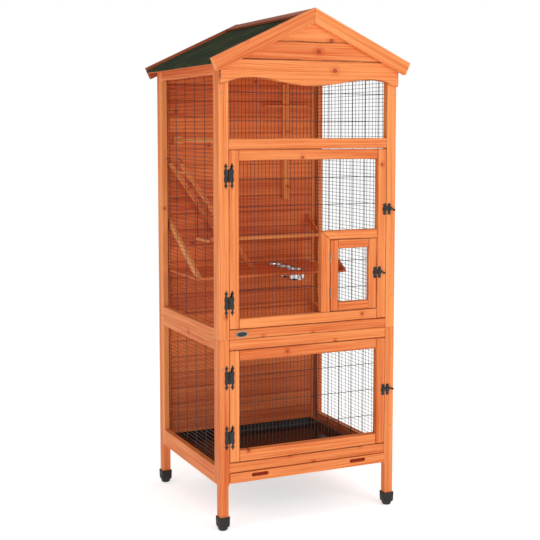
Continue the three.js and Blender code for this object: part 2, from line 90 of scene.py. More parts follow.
camera_data = bpy.data.cameras.new("camera")
camera_data.lens = LENS
camera_data.shift_y = LENS_SHIFT
camera = bpy.data.objects.new("camera", camera_data)
camera.location = CAMERA_PLACE
camera.rotation_euler = CAMERA_LOOKS.to_track_quat("-Z", "Y").to_euler()
bpy.context.scene.collection.objects.link(camera)
bpy.context.scene.camera = camera
print("camera stands", round(CAMERA_PLACE.length, 2), "m from the middle of the floor")


# %% Light
def soft_panel(name, place, target, size, power):
    """A square area light at place, turned to face target."""
    data = bpy.data.lights.new(name, "AREA")
    data.size = size
    data.energy = power
    panel = bpy.data.objects.new(name, data)
    panel.location = place
    panel.rotation_euler = (Vector(target) - Vector(place)).to_track_quat("-Z", "Y").to_euler()
    bpy.context.scene.collection.objects.link(panel)


MIDDLE = (0.0, 0.0, 0.9)
soft_panel("key_panel", (1.0, -3.8, 2.4), MIDDLE, 2.2, 54.0)
soft_panel("left_panel", (-3.4, -1.6, 1.8), MIDDLE, 2.4, 20.0)
soft_panel("top_panel", (0.0, -0.4, 4.2), MIDDLE, 2.6, 16.0)

SEEN_WHITE, SHED_LIGHT = 1.0, 0.5
world = bpy.data.worlds.new("white room")
world.use_nodes = True
world_nodes, world_links = world.node_tree.nodes, world.node_tree.links
background = world_nodes["Background"]
background.inputs["Color"].default_value = (1.0, 1.0, 1.0, 1.0)
strength = world_nodes.new("ShaderNodeMapRange")
strength.inputs["To Min"].default_value = SHED_LIGHT
strength.inputs["To Max"].default_value = SEEN_WHITE
light_path = world_nodes.new("ShaderNodeLightPath")
world_links.new(light_path.outputs["Is Camera Ray"], strength.inputs["Value"])
world_links.new(strength.outputs["Result"], background.inputs["Strength"])
bpy.context.scene.world = world
bpy.context.scene.view_settings.view_transform = "Standard"

# %% [markdown]
# ## Shapes from numbers
# Every new piece is a set of rings of points joined by quads. A board is a rectangle with
# softened corners carried along a line. Worked out as whole arrays this is quick, and it lets
# each point remember where it lies in its board, which the grain needs later.

# %% Rings of points
FULL_TURN = 2.0 * np.pi


def ring_quads(rings, sides):
    """Quads between neighbouring closed rings: point k meets k + 1, and ring r meets r + 1."""
    ring, corner = np.meshgrid(np.arange(rings - 1), np.arange(sides), indexing="ij")
    here = ring * sides + corner
    beside = ring * sides + (corner + 1) % sides
    return np.stack([here, beside, beside + sides, here + sides], -1).reshape(-1, 4)


def lidded(rings, sides):
    """The quads of a stack of rings, and one flat lid on its first and its last ring."""
    last = (rings - 1) * sides
    lids = [list(range(sides))[::-1], list(range(last, last + sides))]
    return ring_quads(rings, sides).tolist() + lids


def joined(shapes):
    """Several shapes as one: their points in a row, and each one's faces counted on from there."""
    shapes = list(shapes)
    starts = np.cumsum([0] + [len(points) for points, _, _ in shapes])
    faces = []
    for start, (_, part_faces, _) in zip(starts, shapes):
        faces += [[corner + int(start) for corner in face] for face in part_faces]
    points = np.concatenate([points for points, _, _ in shapes])
    keys = shapes[0][2]
    return points, faces, {key: np.concatenate([data[key] for _, _, data in shapes]) for key in keys}


# %% From arrays to a piece that rides on the frame
SMOOTH_UNDER = np.radians(50.0)


def piece(name, shape, body, look, replaces=()):
    """Puts a shape in the scene, closes its seams, points its faces outwards, gives it its material, hangs it
    on its body and hides the parts it replaces.
    """
    points, faces, data = shape
    mesh = bpy.data.meshes.new(name)
    mesh.from_pydata(points, [], faces)
    for key, values in data.items():
        vector = values.ndim == 2
        kind, field = ("FLOAT_VECTOR", "vector") if vector else ("FLOAT", "value")
        attribute = mesh.attributes.new(key, kind, "POINT")
        attribute.data.foreach_set(field, np.ascontiguousarray(values, np.float32).ravel())
    work = bmesh.new()
    work.from_mesh(mesh)
    bmesh.ops.remove_doubles(work, verts=work.verts, dist=1e-6)
    bmesh.ops.recalc_face_normals(work, faces=work.faces)
    work.to_mesh(mesh)
    work.free()
    mesh.polygons.foreach_set("use_smooth", [True] * len(mesh.polygons))
    mesh.set_sharp_from_angle(angle=SMOOTH_UNDER)
    material, slot = look
    mesh.materials.append(material)
    made = bpy.data.objects.new(name, mesh)
    bpy.context.scene.collection.objects.link(made)
    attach(made, body)
    if replaces:
        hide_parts(*replaces)
    return made


# %% A board
EASE = 1.3 * MM
EDGE_BAND = 1.8 * MM
DIAGONAL = 1.0 - np.sqrt(0.5)


def board_luck(name):
    """Where in an endless log a board was sawn, and how dark it took the stain, from its name."""
    luck = np.random.default_rng(zlib.crc32(name.encode()))
    return luck.uniform(0.0, 30.0, 3), luck.uniform(-1.0, 1.0)


def corner_pattern(ease):
    """Round one corner: distance from each face, and 1 on the edge band, which takes scuffs on some finishes
    and painted seam shade on others.
    """
    band_end = ease + EDGE_BAND
    from_side = np.array([0.0, 0.0, DIAGONAL * ease, ease, band_end])
    edge_scuff_and_shade = np.array([0.0, 1.0, 1.0, 1.0, 0.0])
    rising = (from_side, from_side[::-1])
    falling = (from_side[::-1], from_side)
    turns = [rising, falling, rising, falling]
    inward_a = np.concatenate([turn[0] for turn in turns])
    inward_t = np.concatenate([turn[1] for turn in turns])
    side_a = np.repeat([1, -1, -1, 1], 5)
    side_t = np.repeat([1, 1, -1, -1], 5)
    return inward_a, inward_t, side_a, side_t, np.tile(edge_scuff_and_shade, 4)


def plank(name, start, end, across, low, high, thickness, ease=EASE, mitre=(0.0, 0.0), stops=(), lean=0.0):
    """A board from start to end. Its section runs from low to high along across, which may be
    curves of the distance s along the board, and has softened corners. A mitre moves a point of
    an end along the board by mitre times its place across; lean slants the low edge."""
    start, end, across = (np.array(v, float) for v in (start, end, across))
    length = np.linalg.norm(end - start)
    along = (end - start) / length
    through = np.cross(along, across)
    band_end = ease + EDGE_BAND
    ends = [0.0, ease, band_end, length - band_end, length - ease, length]
    s = np.unique(np.concatenate([ends, np.asarray(stops, float)]))[:, None]
    bottom, top = (edge(s) if callable(edge) else np.full_like(s, edge) for edge in (low, high))
    inward_a, inward_t, side_a, side_t, edge_scuff_and_shade = corner_pattern(ease)
    shrink = np.zeros_like(s)
    shrink[[0, -1]] = ease
    inset = np.minimum(inward_a + shrink, 0.49 * (top - bottom))
    a = np.where(side_a > 0, top - inset, bottom + inset)
    t = side_t * (thickness / 2 - inward_t - shrink) + 0.0 * a
    a = a + np.where(side_a < 0, lean * (thickness / 2 - t), 0.0)
    cut = np.zeros_like(s)
    cut[:3] = mitre[0]
    cut[-3:] = mitre[1]
    s = s + cut * a
    points = start + s[..., None] * along + a[..., None] * across + t[..., None] * through
    edge_scuff_and_shade = np.broadcast_to(edge_scuff_and_shade, a.shape).copy()
    edge_scuff_and_shade[[0, 1, -2, -1]] = 1.0
    place, tone = board_luck(name)
    timber = np.stack([s, a, t], -1).reshape(-1, 3) + place
    data = {"timber": timber, "tone": np.full(a.size, tone), "edge": edge_scuff_and_shade.ravel()}
    return points.reshape(-1, 3), lidded(*a.shape), data


AXES = np.eye(3)
RIGHT, LEFT, UP, DOWN, FORWARD = (1, 0, 0), (-1, 0, 0), (0, 0, 1), (0, 0, -1), (0, -1, 0)


def middle_of(low, high, axis):
    """Half way between two corners along one axis."""
    return (low[axis] + high[axis]) / 2


def board_in_box(name, low, high, along, **shape):
    """A board that fills the box from low to high, its grain along that axis (0, 1 or 2)."""
    low, high = np.array(low, float), np.array(high, float)
    size = high - low
    others = sorted((i for i in range(3) if i != along), key=lambda i: size[i])
    thin, wide = others
    start = (low + high) / 2
    start[along] = low[along]
    end = start + AXES[along] * size[along]
    return plank(name, start, end, AXES[wide], -size[wide] / 2, size[wide] / 2, size[thin], **shape)


def side_vectors(direction):
    """Two unit vectors square to a direction and to each other."""
    helper = AXES[int(np.argmin(np.abs(direction)))]
    first = np.cross(direction, helper)
    first /= np.linalg.norm(first)
    return first, np.cross(direction, first)


def turned(profile, base, axis, segments=32, seed_name="turned"):
    """A lathe shape: each [radius, height] of the profile becomes a ring round the axis at base."""
    profile, base, axis = (np.array(v, float) for v in (profile, base, axis))
    first, second = side_vectors(axis)
    angle = np.arange(segments) * FULL_TURN / segments
    ring = np.cos(angle)[:, None] * first + np.sin(angle)[:, None] * second
    points = base + profile[:, :1, None] * ring + profile[:, 1:, None] * axis
    radius, height = profile[:, :1], profile[:, 1:] + 0.0 * angle
    place, tone = board_luck(seed_name)
    timber = np.stack([height, radius * np.cos(angle), radius * np.sin(angle)], -1)
    data = {
        "timber": timber.reshape(-1, 3) + place,
        "tone": np.full(height.size, tone),
        "edge": np.zeros(height.size),
    }
    return points.reshape(-1, 3), lidded(len(profile), segments), data


def dowel(name, start, end, radius, segments=20):
    """A round rod with slightly rounded ends."""
    start, end = np.array(start, float), np.array(end, float)
    length = np.linalg.norm(end - start)
    r, nose, rim = radius, 0.82 * radius, 0.2 * radius
    profile = [[nose, 0], [r, rim], [r, length / 3], [r, 2 * length / 3], [r, length - rim], [nose, length]]
    return turned(profile, start, (end - start) / length, segments, name)


print("a board has", len(corner_pattern(EASE)[0]), "points in its section")

# %% [markdown]
# ## Stained pine
# Pine shows pale early wood and darker late wood as lines along the board, fine fibres, and
# knots that the lines bend round. The red-orange stain sinks in more in some places than in
# others and rubs off along the edges; the finishes with dark edges paint shade into the joints
# there instead. All of that is a pattern of one vector, the place in the log, so it is made once
# as a node group and used by every timber finish.


# %% A short way to add nodes
class Graph:
    """Adds nodes to a tree. An input may be a plain value or the socket that feeds it."""

    def __init__(self, tree):
        self.tree = tree

    def add(self, kind, inputs, **settings):
        node = self.tree.nodes.new(kind)
        for key, value in settings.items():
            setattr(node, key, value)
        for key, value in inputs.items():
            self.put(value, node.inputs[key])
        return node

    def put(self, value, socket):
        """Links a socket into this one, or sets a plain value on it."""
        if isinstance(value, bpy.types.NodeSocket):
            self.tree.links.new(value, socket)
        else:
            socket.default_value = value

    def place(self, group, inputs):
        """Puts a node group in the tree and gives back its outputs."""
        return self.add("ShaderNodeGroup", inputs, node_tree=group).outputs

    def math(self, operation, a, b=0.0):
        return self.add("ShaderNodeMath", {0: a, 1: b}, operation=operation).outputs[0]

    def times(self, a, b):
        return self.math("MULTIPLY", a, b)

    def total(self, first, *others):
        for other in others:
            first = self.math("ADD", first, other)
        return first

    def stretch(self, vector, factors):
        return self.add("ShaderNodeVectorMath", {0: vector, 1: factors}, operation="MULTIPLY").outputs[0]

    def noise(self, vector, factors, detail=2.0, roughness=0.5):
        place = self.stretch(vector, factors)
        inputs = {"Vector": place, "Scale": 1.0, "Detail": detail, "Roughness": roughness}
        return self.add("ShaderNodeTexNoise", inputs).outputs["Fac"]

    def ramp(self, value, start, end, low=0.0, high=1.0):
        inputs = {"Value": value, "From Min": start, "From Max": end, "To Min": low, "To Max": high}
        return self.add("ShaderNodeMapRange", inputs, interpolation_type="SMOOTHSTEP").outputs["Result"]

    def mix(self, factor, a, b):
        return self.add("ShaderNodeMix", {0: factor, 6: a, 7: b}, data_type="RGBA").outputs[2]


def linear(red, green, blue):
    """A colour given as 0 to 255 on a screen, as the linear values that shaders use."""
    screen = np.array([red, green, blue]) / 255.0
    light = np.where(screen <= 0.04045, screen / 12.92, ((screen + 0.055) / 1.055) ** 2.4)
    return (*[float(v) for v in light], 1.0)


def new_group(name, inputs, outputs):
    """An empty shader node group with named sockets, its graph, and its input sockets by name."""
    tree = bpy.data.node_groups.new(name, "ShaderNodeTree")
    for socket_name, (kind, value) in inputs.items():
        socket = tree.interface.new_socket(socket_name, in_out="INPUT", socket_type=kind)
        if value is not None:
            socket.default_value = value
    for socket_name, kind in outputs.items():
        tree.interface.new_socket(socket_name, in_out="OUTPUT", socket_type=kind)
    graph = Graph(tree)
    return tree, graph, graph.add("NodeGroupInput", {}).outputs


VALUE, COLOR, VECTOR = "NodeSocketFloat", "NodeSocketColor", "NodeSocketVector"
WHITE = (1.0, 1.0, 1.0, 1.0)
NOWHERE = (-90.0, -90.0, -90.0)

# %% The timber group
timber_group, g, given = new_group(
    "Sawn timber",
    {
        "Grain": (VECTOR, None), "Tone": (VALUE, 0.0), "Edge": (VALUE, 0.0), "Pale": (COLOR, WHITE),
        "Deep": (COLOR, WHITE), "Knot": (COLOR, WHITE), "Knot share": (VALUE, 0.1),
        "Knot place": (VECTOR, NOWHERE), "Rubbed": (COLOR, WHITE), "Wear": (VALUE, 0.3),
    },
    {"Colour": COLOR, "Roughness": VALUE, "Height": VALUE},
)
grain = given["Grain"]

# Knots: one may lie in each cell of a flat pattern, and one more at a given place.
KNOT_CELLS = 11.0
KNOT_CORE, KNOT_RIM, KNOT_REACH = 0.0022, 0.0042, 0.019
cell_inputs = {"Vector": g.stretch(grain, (KNOT_CELLS, KNOT_CELLS, 0.0)), "Scale": 1.0, "Randomness": 0.9}
cells = g.add("ShaderNodeTexVoronoi", cell_inputs, voronoi_dimensions="2D")
cell_luck = g.add("ShaderNodeSeparateColor", {"Color": cells.outputs["Color"]}).outputs["Red"]
no_knot = g.math("LESS_THAN", cell_luck, g.math("SUBTRACT", 1.0, given["Knot share"]))
to_any = g.total(g.math("DIVIDE", cells.outputs["Distance"], KNOT_CELLS), no_knot)
away = g.add("ShaderNodeVectorMath", {0: grain, 1: given["Knot place"]}, operation="SUBTRACT").outputs[0]
flat_away = g.stretch(away, (0.62, 0.75, 0.0))
to_place = g.add("ShaderNodeVectorMath", {0: flat_away}, operation="LENGTH").outputs["Value"]
knot_distance = g.math("MINIMUM", to_any, to_place)
inside_rim = g.ramp(knot_distance, KNOT_RIM * 1.25, KNOT_RIM)
rim = g.times(inside_rim, g.ramp(knot_distance, 0.0, KNOT_RIM, 0.45, 1.0))
halo = g.ramp(knot_distance, KNOT_REACH, KNOT_CORE)

# Year rings: a sine of the depth in the log, where drift, crowding and knots bend the depth.
RING_STEP = 0.0056
place = g.add("ShaderNodeSeparateXYZ", {0: grain}).outputs
drift = g.noise(grain, (1.1, 8.0, 8.0), 1.0)
crowding = g.noise(grain, (0.9, 36.0, 36.0), 1.0)
bends = [g.times(drift, 0.05), g.times(crowding, 0.012), g.times(halo, 0.006)]
depth = g.total(g.times(place[1], 0.9), g.times(place[2], 0.5), *bends)
wave = g.math("SINE", g.times(depth, FULL_TURN / RING_STEP))
late_wood = g.math("POWER", g.ramp(wave, -1.0, 1.0), 1.8)
late_wood = g.times(late_wood, g.ramp(g.noise(grain, (1.4, 20.0, 20.0), 2.0), 0.38, 0.62, 0.25, 1.0))
streak = g.ramp(g.noise(grain, (2.2, 110.0, 110.0), 4.0, 0.6), 0.36, 0.66)
fibre = g.noise(grain, (28.0, 1300.0, 1300.0), 2.0)

# Stain: what the figure, the blotches and the whole board's tone add up to, from pale to deep.
blotch = g.ramp(g.noise(grain, (1.6, 9.0, 9.0), 3.0), 0.34, 0.7)
figure = [g.times(late_wood, 0.27), g.times(streak, 0.42), g.times(g.ramp(fibre, 0.4, 0.7), 0.14)]
stain = g.total(*figure, g.times(halo, 0.34), g.times(blotch, 0.26), g.times(given["Tone"], 0.26))
colour = g.mix(g.ramp(stain, -0.15, 1.15), given["Pale"], given["Deep"])
# Along the eased edges the colour moves towards a second colour: pale scuffs on some finishes, painted shade
# in the joints on others.
scuffs_and_seam_shade = g.times(given["Edge"], g.ramp(g.noise(grain, (9.0, 60.0, 60.0), 3.0), 0.3, 0.6))
colour = g.mix(g.times(scuffs_and_seam_shade, given["Wear"]), colour, given["Rubbed"])
knot = g.times(rim, 0.78)
colour = g.mix(knot, colour, given["Knot"])
height = g.math("SUBTRACT", g.total(g.times(fibre, 0.5), g.times(late_wood, 0.35)), g.times(knot, 0.5))
roughness = g.math("SUBTRACT", g.total(0.5, g.times(streak, 0.14)), g.times(knot, 0.15))
g.add("NodeGroupOutput", {"Colour": colour, "Roughness": roughness, "Height": height})
print("timber group has", len(timber_group.nodes), "nodes")


# %% Finishes made from the timber group
def new_material(name):
    """A material with its Principled shader, ready for a graph."""
    material = bpy.data.materials.new(name)
    material.use_nodes = True
    return material, Graph(material.node_tree), material.node_tree.nodes["Principled BSDF"]


def feed(graph, shader, **inputs):
    """Links sockets into the shader's inputs, or sets plain values on them."""
    for key, value in inputs.items():
        graph.put(value, shader.inputs[key.replace("_", " ")])


def timber_finish(name, pale, deep, scuffs_and_seam_shade, edge_scuff_and_shade=0.3, knots=0.16, knot_place=NOWHERE, packed_grain=None):
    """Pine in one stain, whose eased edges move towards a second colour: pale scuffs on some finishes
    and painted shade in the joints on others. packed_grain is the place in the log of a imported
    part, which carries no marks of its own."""
    material, graph, shader = new_material(name)
    marks = {"tone": 0.0, "edge": 0.0}
    if packed_grain is None:
        for mark in marks:
            marks[mark] = graph.add("ShaderNodeAttribute", {}, attribute_name=mark).outputs["Fac"]
        grain = graph.add("ShaderNodeAttribute", {}, attribute_name="timber").outputs["Vector"]
    else:
        own = graph.add("ShaderNodeTexCoord", {}).outputs["Object"]
        grain = graph.add("ShaderNodeMapping", {"Vector": own, "Location": packed_grain}).outputs[0]
    wood = graph.place(timber_group, {
        "Grain": grain, "Tone": marks["tone"], "Edge": marks["edge"], "Pale": pale, "Deep": deep,
        "Knot": KNOT_BROWN, "Knot share": knots, "Knot place": knot_place, "Rubbed": scuffs_and_seam_shade, "Wear": edge_scuff_and_shade,
    })
    relief = {"Height": wood["Height"], "Strength": 0.35, "Distance": 0.6 * MM}
    bump = graph.add("ShaderNodeBump", relief).outputs[0]
    feed(graph, shader, Base_Color=wood["Colour"], Roughness=wood["Roughness"], Normal=bump)
    feed(graph, shader, Specular_IOR_Level=0.25)
    return material


PALE_STAIN = linear(241, 150, 84)
DEEP_STAIN = linear(198, 80, 26)
# Darker, redder copies of the stain: painted shade for timber inside the cage.
PAINTED_SHADE_PALE = linear(238, 128, 64)
PAINTED_SHADE_DEEP = linear(190, 74, 28)
RAW_PALE = linear(240, 152, 84)
RAW_DEEP = linear(206, 104, 42)
# Darker still: painted shade under the roof, for the rear barge boards and the ridge boards.
PAINTED_ROOF_SHADE_PALE = linear(190, 96, 54)
PAINTED_ROOF_SHADE_DEEP = linear(132, 56, 28)
KNOT_BROWN = linear(104, 40, 18)
# Deep red-brown: painted shade at the back of the finger slots.
PAINTED_SLOT_SHADE_PALE = linear(178, 62, 26)
PAINTED_SLOT_SHADE_DEEP = linear(132, 34, 12)
RUBBED_PALE = linear(252, 184, 130)
# Dark brown for the eased edges: painted shade in the joints between boards.
PAINTED_SEAM_SHADE = linear(92, 30, 12)

TIMBERS = {
    "pine": ("stained pine", "pine", PALE_STAIN, DEEP_STAIN, RUBBED_PALE),
    "jointed": ("stained pine with dark joints", "pine", PALE_STAIN, DEEP_STAIN, PAINTED_SEAM_SHADE, 0.5),
    "inner": ("stained pine inside", "shaded_pine", PAINTED_SHADE_PALE, PAINTED_SHADE_DEEP, PAINTED_SEAM_SHADE, 0.3),
    "raw": ("smooth pine", "raw_pine", RAW_PALE, RAW_DEEP, RUBBED_PALE, 0.2, 0.03),
    "roof": ("roof pine", "roof_timber", PAINTED_ROOF_SHADE_PALE, PAINTED_ROOF_SHADE_DEEP, PAINTED_SEAM_SHADE, 0.3),
}
looks = {label: (timber_finish(title, *stain), slot) for label, (title, slot, *stain) in TIMBERS.items()}

# %% [markdown]
# ## Metal, rubber, felt and plastic
# The hinges are black lacquered steel, a little grey in patches. The wire is dark and
# slightly dull. The felt is a mat of fine mineral grit, so its colour changes from grain to
# grain. Each finish takes its unevenness from one small group, so that no surface is one flat
# colour.

# %% The unevenness group
uneven_group, g, given = new_group(
    "Uneven finish",
    {
        "Place": (VECTOR, None), "Grit": (VALUE, 900.0), "Main": (COLOR, WHITE), "Other": (COLOR, WHITE),
        "Base roughness": (VALUE, 0.5), "Spread": (VALUE, 0.2),
    },
    {"Colour": COLOR, "Roughness": VALUE, "Height": VALUE},
)
patches = g.noise(given["Place"], (9.0, 9.0, 9.0), 4.0, 0.6)
fine_inputs = {"Vector": given["Place"], "Scale": given["Grit"], "Detail": 2.0}
fine = g.add("ShaderNodeTexNoise", fine_inputs).outputs["Fac"]
blend = g.total(g.times(g.ramp(patches, 0.35, 0.68), 0.55), g.times(g.ramp(fine, 0.42, 0.66), 0.45))
off_middle = g.math("SUBTRACT", blend, 0.5)
roughness = g.total(given["Base roughness"], g.times(given["Spread"], off_middle))
colour = g.mix(blend, given["Main"], given["Other"])
g.add("NodeGroupOutput", {"Colour": colour, "Roughness": roughness, "Height": fine})


# %% Finishes made from it
def plain_finish(name, main, other, grit, roughness, spread, metallic=0.0, bump=0.2, shine=0.5):
    """A metal, rubber, felt or plastic whose colour wanders from main to other."""
    material, graph, shader = new_material(name)
    own = graph.add("ShaderNodeTexCoord", {}).outputs["Object"]
    made = graph.place(uneven_group, {
        "Place": own, "Grit": grit, "Main": main, "Other": other,
        "Base roughness": roughness, "Spread": spread,
    })
    relief = {"Height": made["Height"], "Strength": bump, "Distance": 0.8 * MM}
    normal = graph.add("ShaderNodeBump", relief).outputs[0]
    feed(graph, shader, Base_Color=made["Colour"], Roughness=made["Roughness"], Normal=normal)
    feed(graph, shader, Metallic=metallic, Specular_IOR_Level=shine)
    return material


PLAIN = {
    "iron": ("black lacquered steel", (8, 8, 8), (26, 25, 24), 700.0, 0.3, 0.2, 0.0, 0.5, 0.5),
    "wire": ("dark wire", (26, 27, 28), (58, 58, 58), 700.0, 0.36, 0.2, 0.4, 0.1, 0.5),
    "steel": ("bright steel", (222, 222, 220), (178, 180, 182), 1200.0, 0.16, 0.12, 1.0, 0.06, 0.5),
    "screw": ("dull zinc", (176, 164, 150), (120, 108, 96), 1600.0, 0.45, 0.2, 0.8, 0.1, 0.5),
    "rubber": ("cap rubber", (30, 29, 27), (48, 45, 42), 1400.0, 0.6, 0.2, 0.0, 0.3, 0.3),
    "felt": ("roof felt", (30, 38, 20), (62, 70, 44), 1900.0, 0.94, 0.1, 0.0, 0.9, 0.1),
    "tray": ("tray plastic", (12, 11, 11), (26, 24, 23), 260.0, 0.24, 0.16, 0.0, 0.3, 0.45),
}
SLOTS = {"rubber": "cap_rubber", "screw": "steel", "tray": "tray_plastic"}
for label, (title, main, other, *rest) in PLAIN.items():
    looks[label] = (plain_finish(title, linear(*main), linear(*other), *rest), SLOTS.get(label, label))
print("finishes:", ", ".join(sorted(looks)))

# %% The floor
FLOOR_REACH, FLOOR_GLOW = 14.0, 0.55
floor_mesh = bpy.data.meshes.new("floor")
corners = FLOOR_REACH * np.array([(-1, -1, 0), (1, -1, 0), (1, 1, 0), (-1, 1, 0)])
floor_mesh.from_pydata(corners, [], [(0, 1, 2, 3)])
floor_colours = (linear(246, 246, 245), linear(250, 250, 249))
floor_finish = plain_finish("pale floor", *floor_colours, 30.0, 0.8, 0.1, 0.0, 0.0, 0.0)
floor_shader = floor_finish.node_tree.nodes["Principled BSDF"]
floor_shader.inputs["Emission Color"].default_value = WHITE
floor_shader.inputs["Emission Strength"].default_value = FLOOR_GLOW
floor_mesh.materials.append(floor_finish)
floor = bpy.data.objects.new("floor", floor_mesh)
bpy.context.scene.collection.objects.link(floor)

# %% [markdown]
# ## The side frames
# Each side of a section is a pair of corner posts with a narrow stile beside each, and a rail
# between the stiles at the top and the bottom. The lower posts run down to the ground as legs,
# and are a little slimmer there.

# %% Sides
POST_WIDE, POST_DEEP = 34 * MM, 28 * MM
LEG_WIDE = 30.5 * MM
STILE_WIDE, STILE_THICK = 20 * MM, 20 * MM
BODY_BOTTOM = 150 * MM
LEG_BOTTOM = 18.4 * MM
RAILS = {"upper": (665 * MM, 1483 * MM), "lower": (207 * MM, 597 * MM)}
HALF_WIDTH = 325 * MM
RUNNER_TOP, RUNNER_WIDE, RUNNER_REACH, RUNNER_OUTER = 159.5 * MM, 33 * MM, 247 * MM, 305 * MM
STEP_BLEND = 0.3 * MM
SIDES = (("left", -1), ("right", 1))
ENDS = (("front", -1), ("rear", 1))


def span(a, b):
    """The two numbers, lower one first."""
    return (min(a, b), max(a, b))


def corner_post(name, side, end, box, leg):
    """A post as wide as the body, narrowed on its inner side below the body where it is a leg."""
    x = side * (box[1][0] if side > 0 else -box[0][0])
    y = span(end * box[1][1], end * (box[1][1] - POST_DEEP))
    bottom = LEG_BOTTOM if leg else box[0][2]
    narrow = BODY_BOTTOM - bottom

    def inner_edge(s):
        return np.where(leg & (s < narrow), LEG_WIDE, POST_WIDE)

    middle_y = sum(y) / 2
    stops = (narrow - STEP_BLEND, narrow + STEP_BLEND) if leg else ()
    start, end_point = (x, middle_y, bottom), (x, middle_y, box[1][2])
    return plank(name, start, end_point, (-side, 0, 0), 0.0, inner_edge, y[1] - y[0], stops=stops)


def side_frame(section, name, side):
    """Posts, stiles and rails of one side panel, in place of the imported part."""
    node = f"{section}_side_panel_{name}"
    low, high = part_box(node)
    if section == "lower":
        low = Vector((low.x, low.y, BODY_BOTTOM))
    box = (low, high)
    outer = side * max(abs(low.x), abs(high.x))
    x = span(outer, outer - side * STILE_THICK)
    reach = high.y - POST_DEEP
    rail_top, rail_bottom = RAILS[section]
    for end_name, end in ENDS:
        label = f"{section}_post_{end_name}_{name}"
        piece(label, corner_post(label, side, end, box, section == "lower"), "frame", looks["pine"], [node])
        label = f"{section}_stile_{end_name}_{name}"
        y = span(end * reach, end * (reach - STILE_WIDE))
        shape = board_in_box(label, (x[0], y[0], low.z), (x[1], y[1], high.z), 2)
        piece(label, shape, "frame", looks["pine"], [node])
    inner = reach - STILE_WIDE
    for rail_name, z in (("bottom", (low.z, rail_top)), ("top", (rail_bottom, high.z))):
        label = f"{section}_{rail_name}_rail_{name}"
        shape = board_in_box(label, (x[0], -inner, z[0]), (x[1], inner, z[1]), 1)
        piece(label, shape, "frame", looks["pine"], [node])


for side_name, side in SIDES:
    side_frame("upper", side_name, side)
    side_frame("lower", side_name, side)
    x = span(side * RUNNER_OUTER, side * (RUNNER_OUTER - RUNNER_WIDE))
    label = f"tray_runner_{side_name}"
    shape = board_in_box(label, (x[0], -RUNNER_REACH, BODY_BOTTOM), (x[1], RUNNER_REACH, RUNNER_TOP), 1)
    piece(label, shape, "frame", looks["pine"], [f"lower_side_panel_{side_name}"])

# %% Rails across the front
for place in ("under_window", "upper_section", "lower_section", "above_tray"):
    node = f"front_rail_{place}"
    low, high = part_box(node)
    # The eased edges of these rails take painted shade in the joints.
    piece(f"{node}_board", board_in_box(node, low, high, 0), "frame", looks["jointed"], [node])

# %% [markdown]
# ## Gable and back wall
# Both are made of narrow boards laid edge to edge with a small groove at each joint. Under the
# roof each board ends on the slope, so its upper edge is the lower of two curves: the joint
# above it and the roof. The lowest gable board has a wave sawn into its lower edge: a trough in
# the middle, a crest on each side, and a quarter wave down to each corner.

# %% Roof lines
HEIGHT = cad_bounds[1].z
HALF_SPAN, RISE = 360 * MM, 170 * MM
SLOPE = RISE / HALF_SPAN
TILT = np.arctan(SLOPE)
FELT_TOP = HEIGHT - 10 * MM
DECK_UNDER = FELT_TOP - 15.5 * MM
BOARD_STEP = 59 * MM
FIRST_JOINT = 1532 * MM
SECOND_JOINT = FIRST_JOINT + BOARD_STEP
JOINT_EASE = 2.2 * MM
THIN_END = 4 * MM
BOARD_APEX = DECK_UNDER - 0.3 * MM
BOARD_STOPS = 81


def sloping_board(name, y_middle, thickness, half_width, z_low, z_high, lower_edge=None):
    """A board along X between two heights whose upper edge is cut by the roof where it is lower."""
    reach = min(half_width, (BOARD_APEX - z_low - THIN_END) / SLOPE)
    kink = np.clip((BOARD_APEX - z_high) / SLOPE, 0.0, reach)
    stops = np.concatenate([np.linspace(0, 2 * reach, BOARD_STOPS), [reach - kink, reach + kink]])
    band_end = JOINT_EASE + EDGE_BAND
    stops = stops[(stops > band_end) & (stops < 2 * reach - band_end)]

    def top(s):
        return np.minimum(z_high, BOARD_APEX - SLOPE * np.abs(s - reach))

    def bottom(s):
        return lower_edge(s - reach) if lower_edge else np.full_like(s, z_low)

    start, end = (-reach, y_middle, 0.0), (reach, y_middle, 0.0)
    return plank(name, start, end, UP, bottom, top, thickness, ease=JOINT_EASE, stops=stops)


TROUGH, CREST, CREST_AT, CORNER_DROP = 1449 * MM, 1472 * MM, 218 * MM, 21 * MM


def gable_wave(x):
    """Half a cosine from the trough to the crest, then a quarter wave down to the corner."""
    away = np.abs(x)
    inner = TROUGH + (CREST - TROUGH) * (1 - np.cos(np.pi * away / CREST_AT)) / 2
    along = (away - CREST_AT) / (HALF_WIDTH - CREST_AT)
    outer = CREST - CORNER_DROP * (1 - np.cos(np.pi / 2 * along))
    return np.where(away < CREST_AT, inner, outer)


# %% Gable
low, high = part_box("gable_board")
y_middle, thickness = middle_of(low, high, 1), high.y - low.y


def knotty_board(name, knot_x, knot_z, z_low, z_high, lower_edge=None):
    """A gable board with one knot at a place of its own. The distance along the board is
    counted from its left end, as its grain is."""
    reach = min(high.x, (BOARD_APEX - z_low - THIN_END) / SLOPE)
    knot_place = tuple(board_luck(name)[0] + np.array([knot_x + reach, knot_z, 0.0]))
    # The gable boards take strong painted shade in the joints along their eased edges.
    finish = timber_finish(f"{name} pine", PALE_STAIN, DEEP_STAIN, PAINTED_SEAM_SHADE, 0.7, 0.05, knot_place)
    shape = sloping_board(name, y_middle, thickness, high.x, z_low, z_high, lower_edge)
    piece(name, shape, "frame", (finish, "pine"), ["gable_board"])


knotty_board("gable_board_low", 82 * MM, 1500 * MM, TROUGH, FIRST_JOINT, gable_wave)
knotty_board("gable_board_mid", 22 * MM, 1561 * MM, FIRST_JOINT, SECOND_JOINT)
knotty_board("gable_board_top", 69 * MM, 1597 * MM, SECOND_JOINT, HEIGHT)

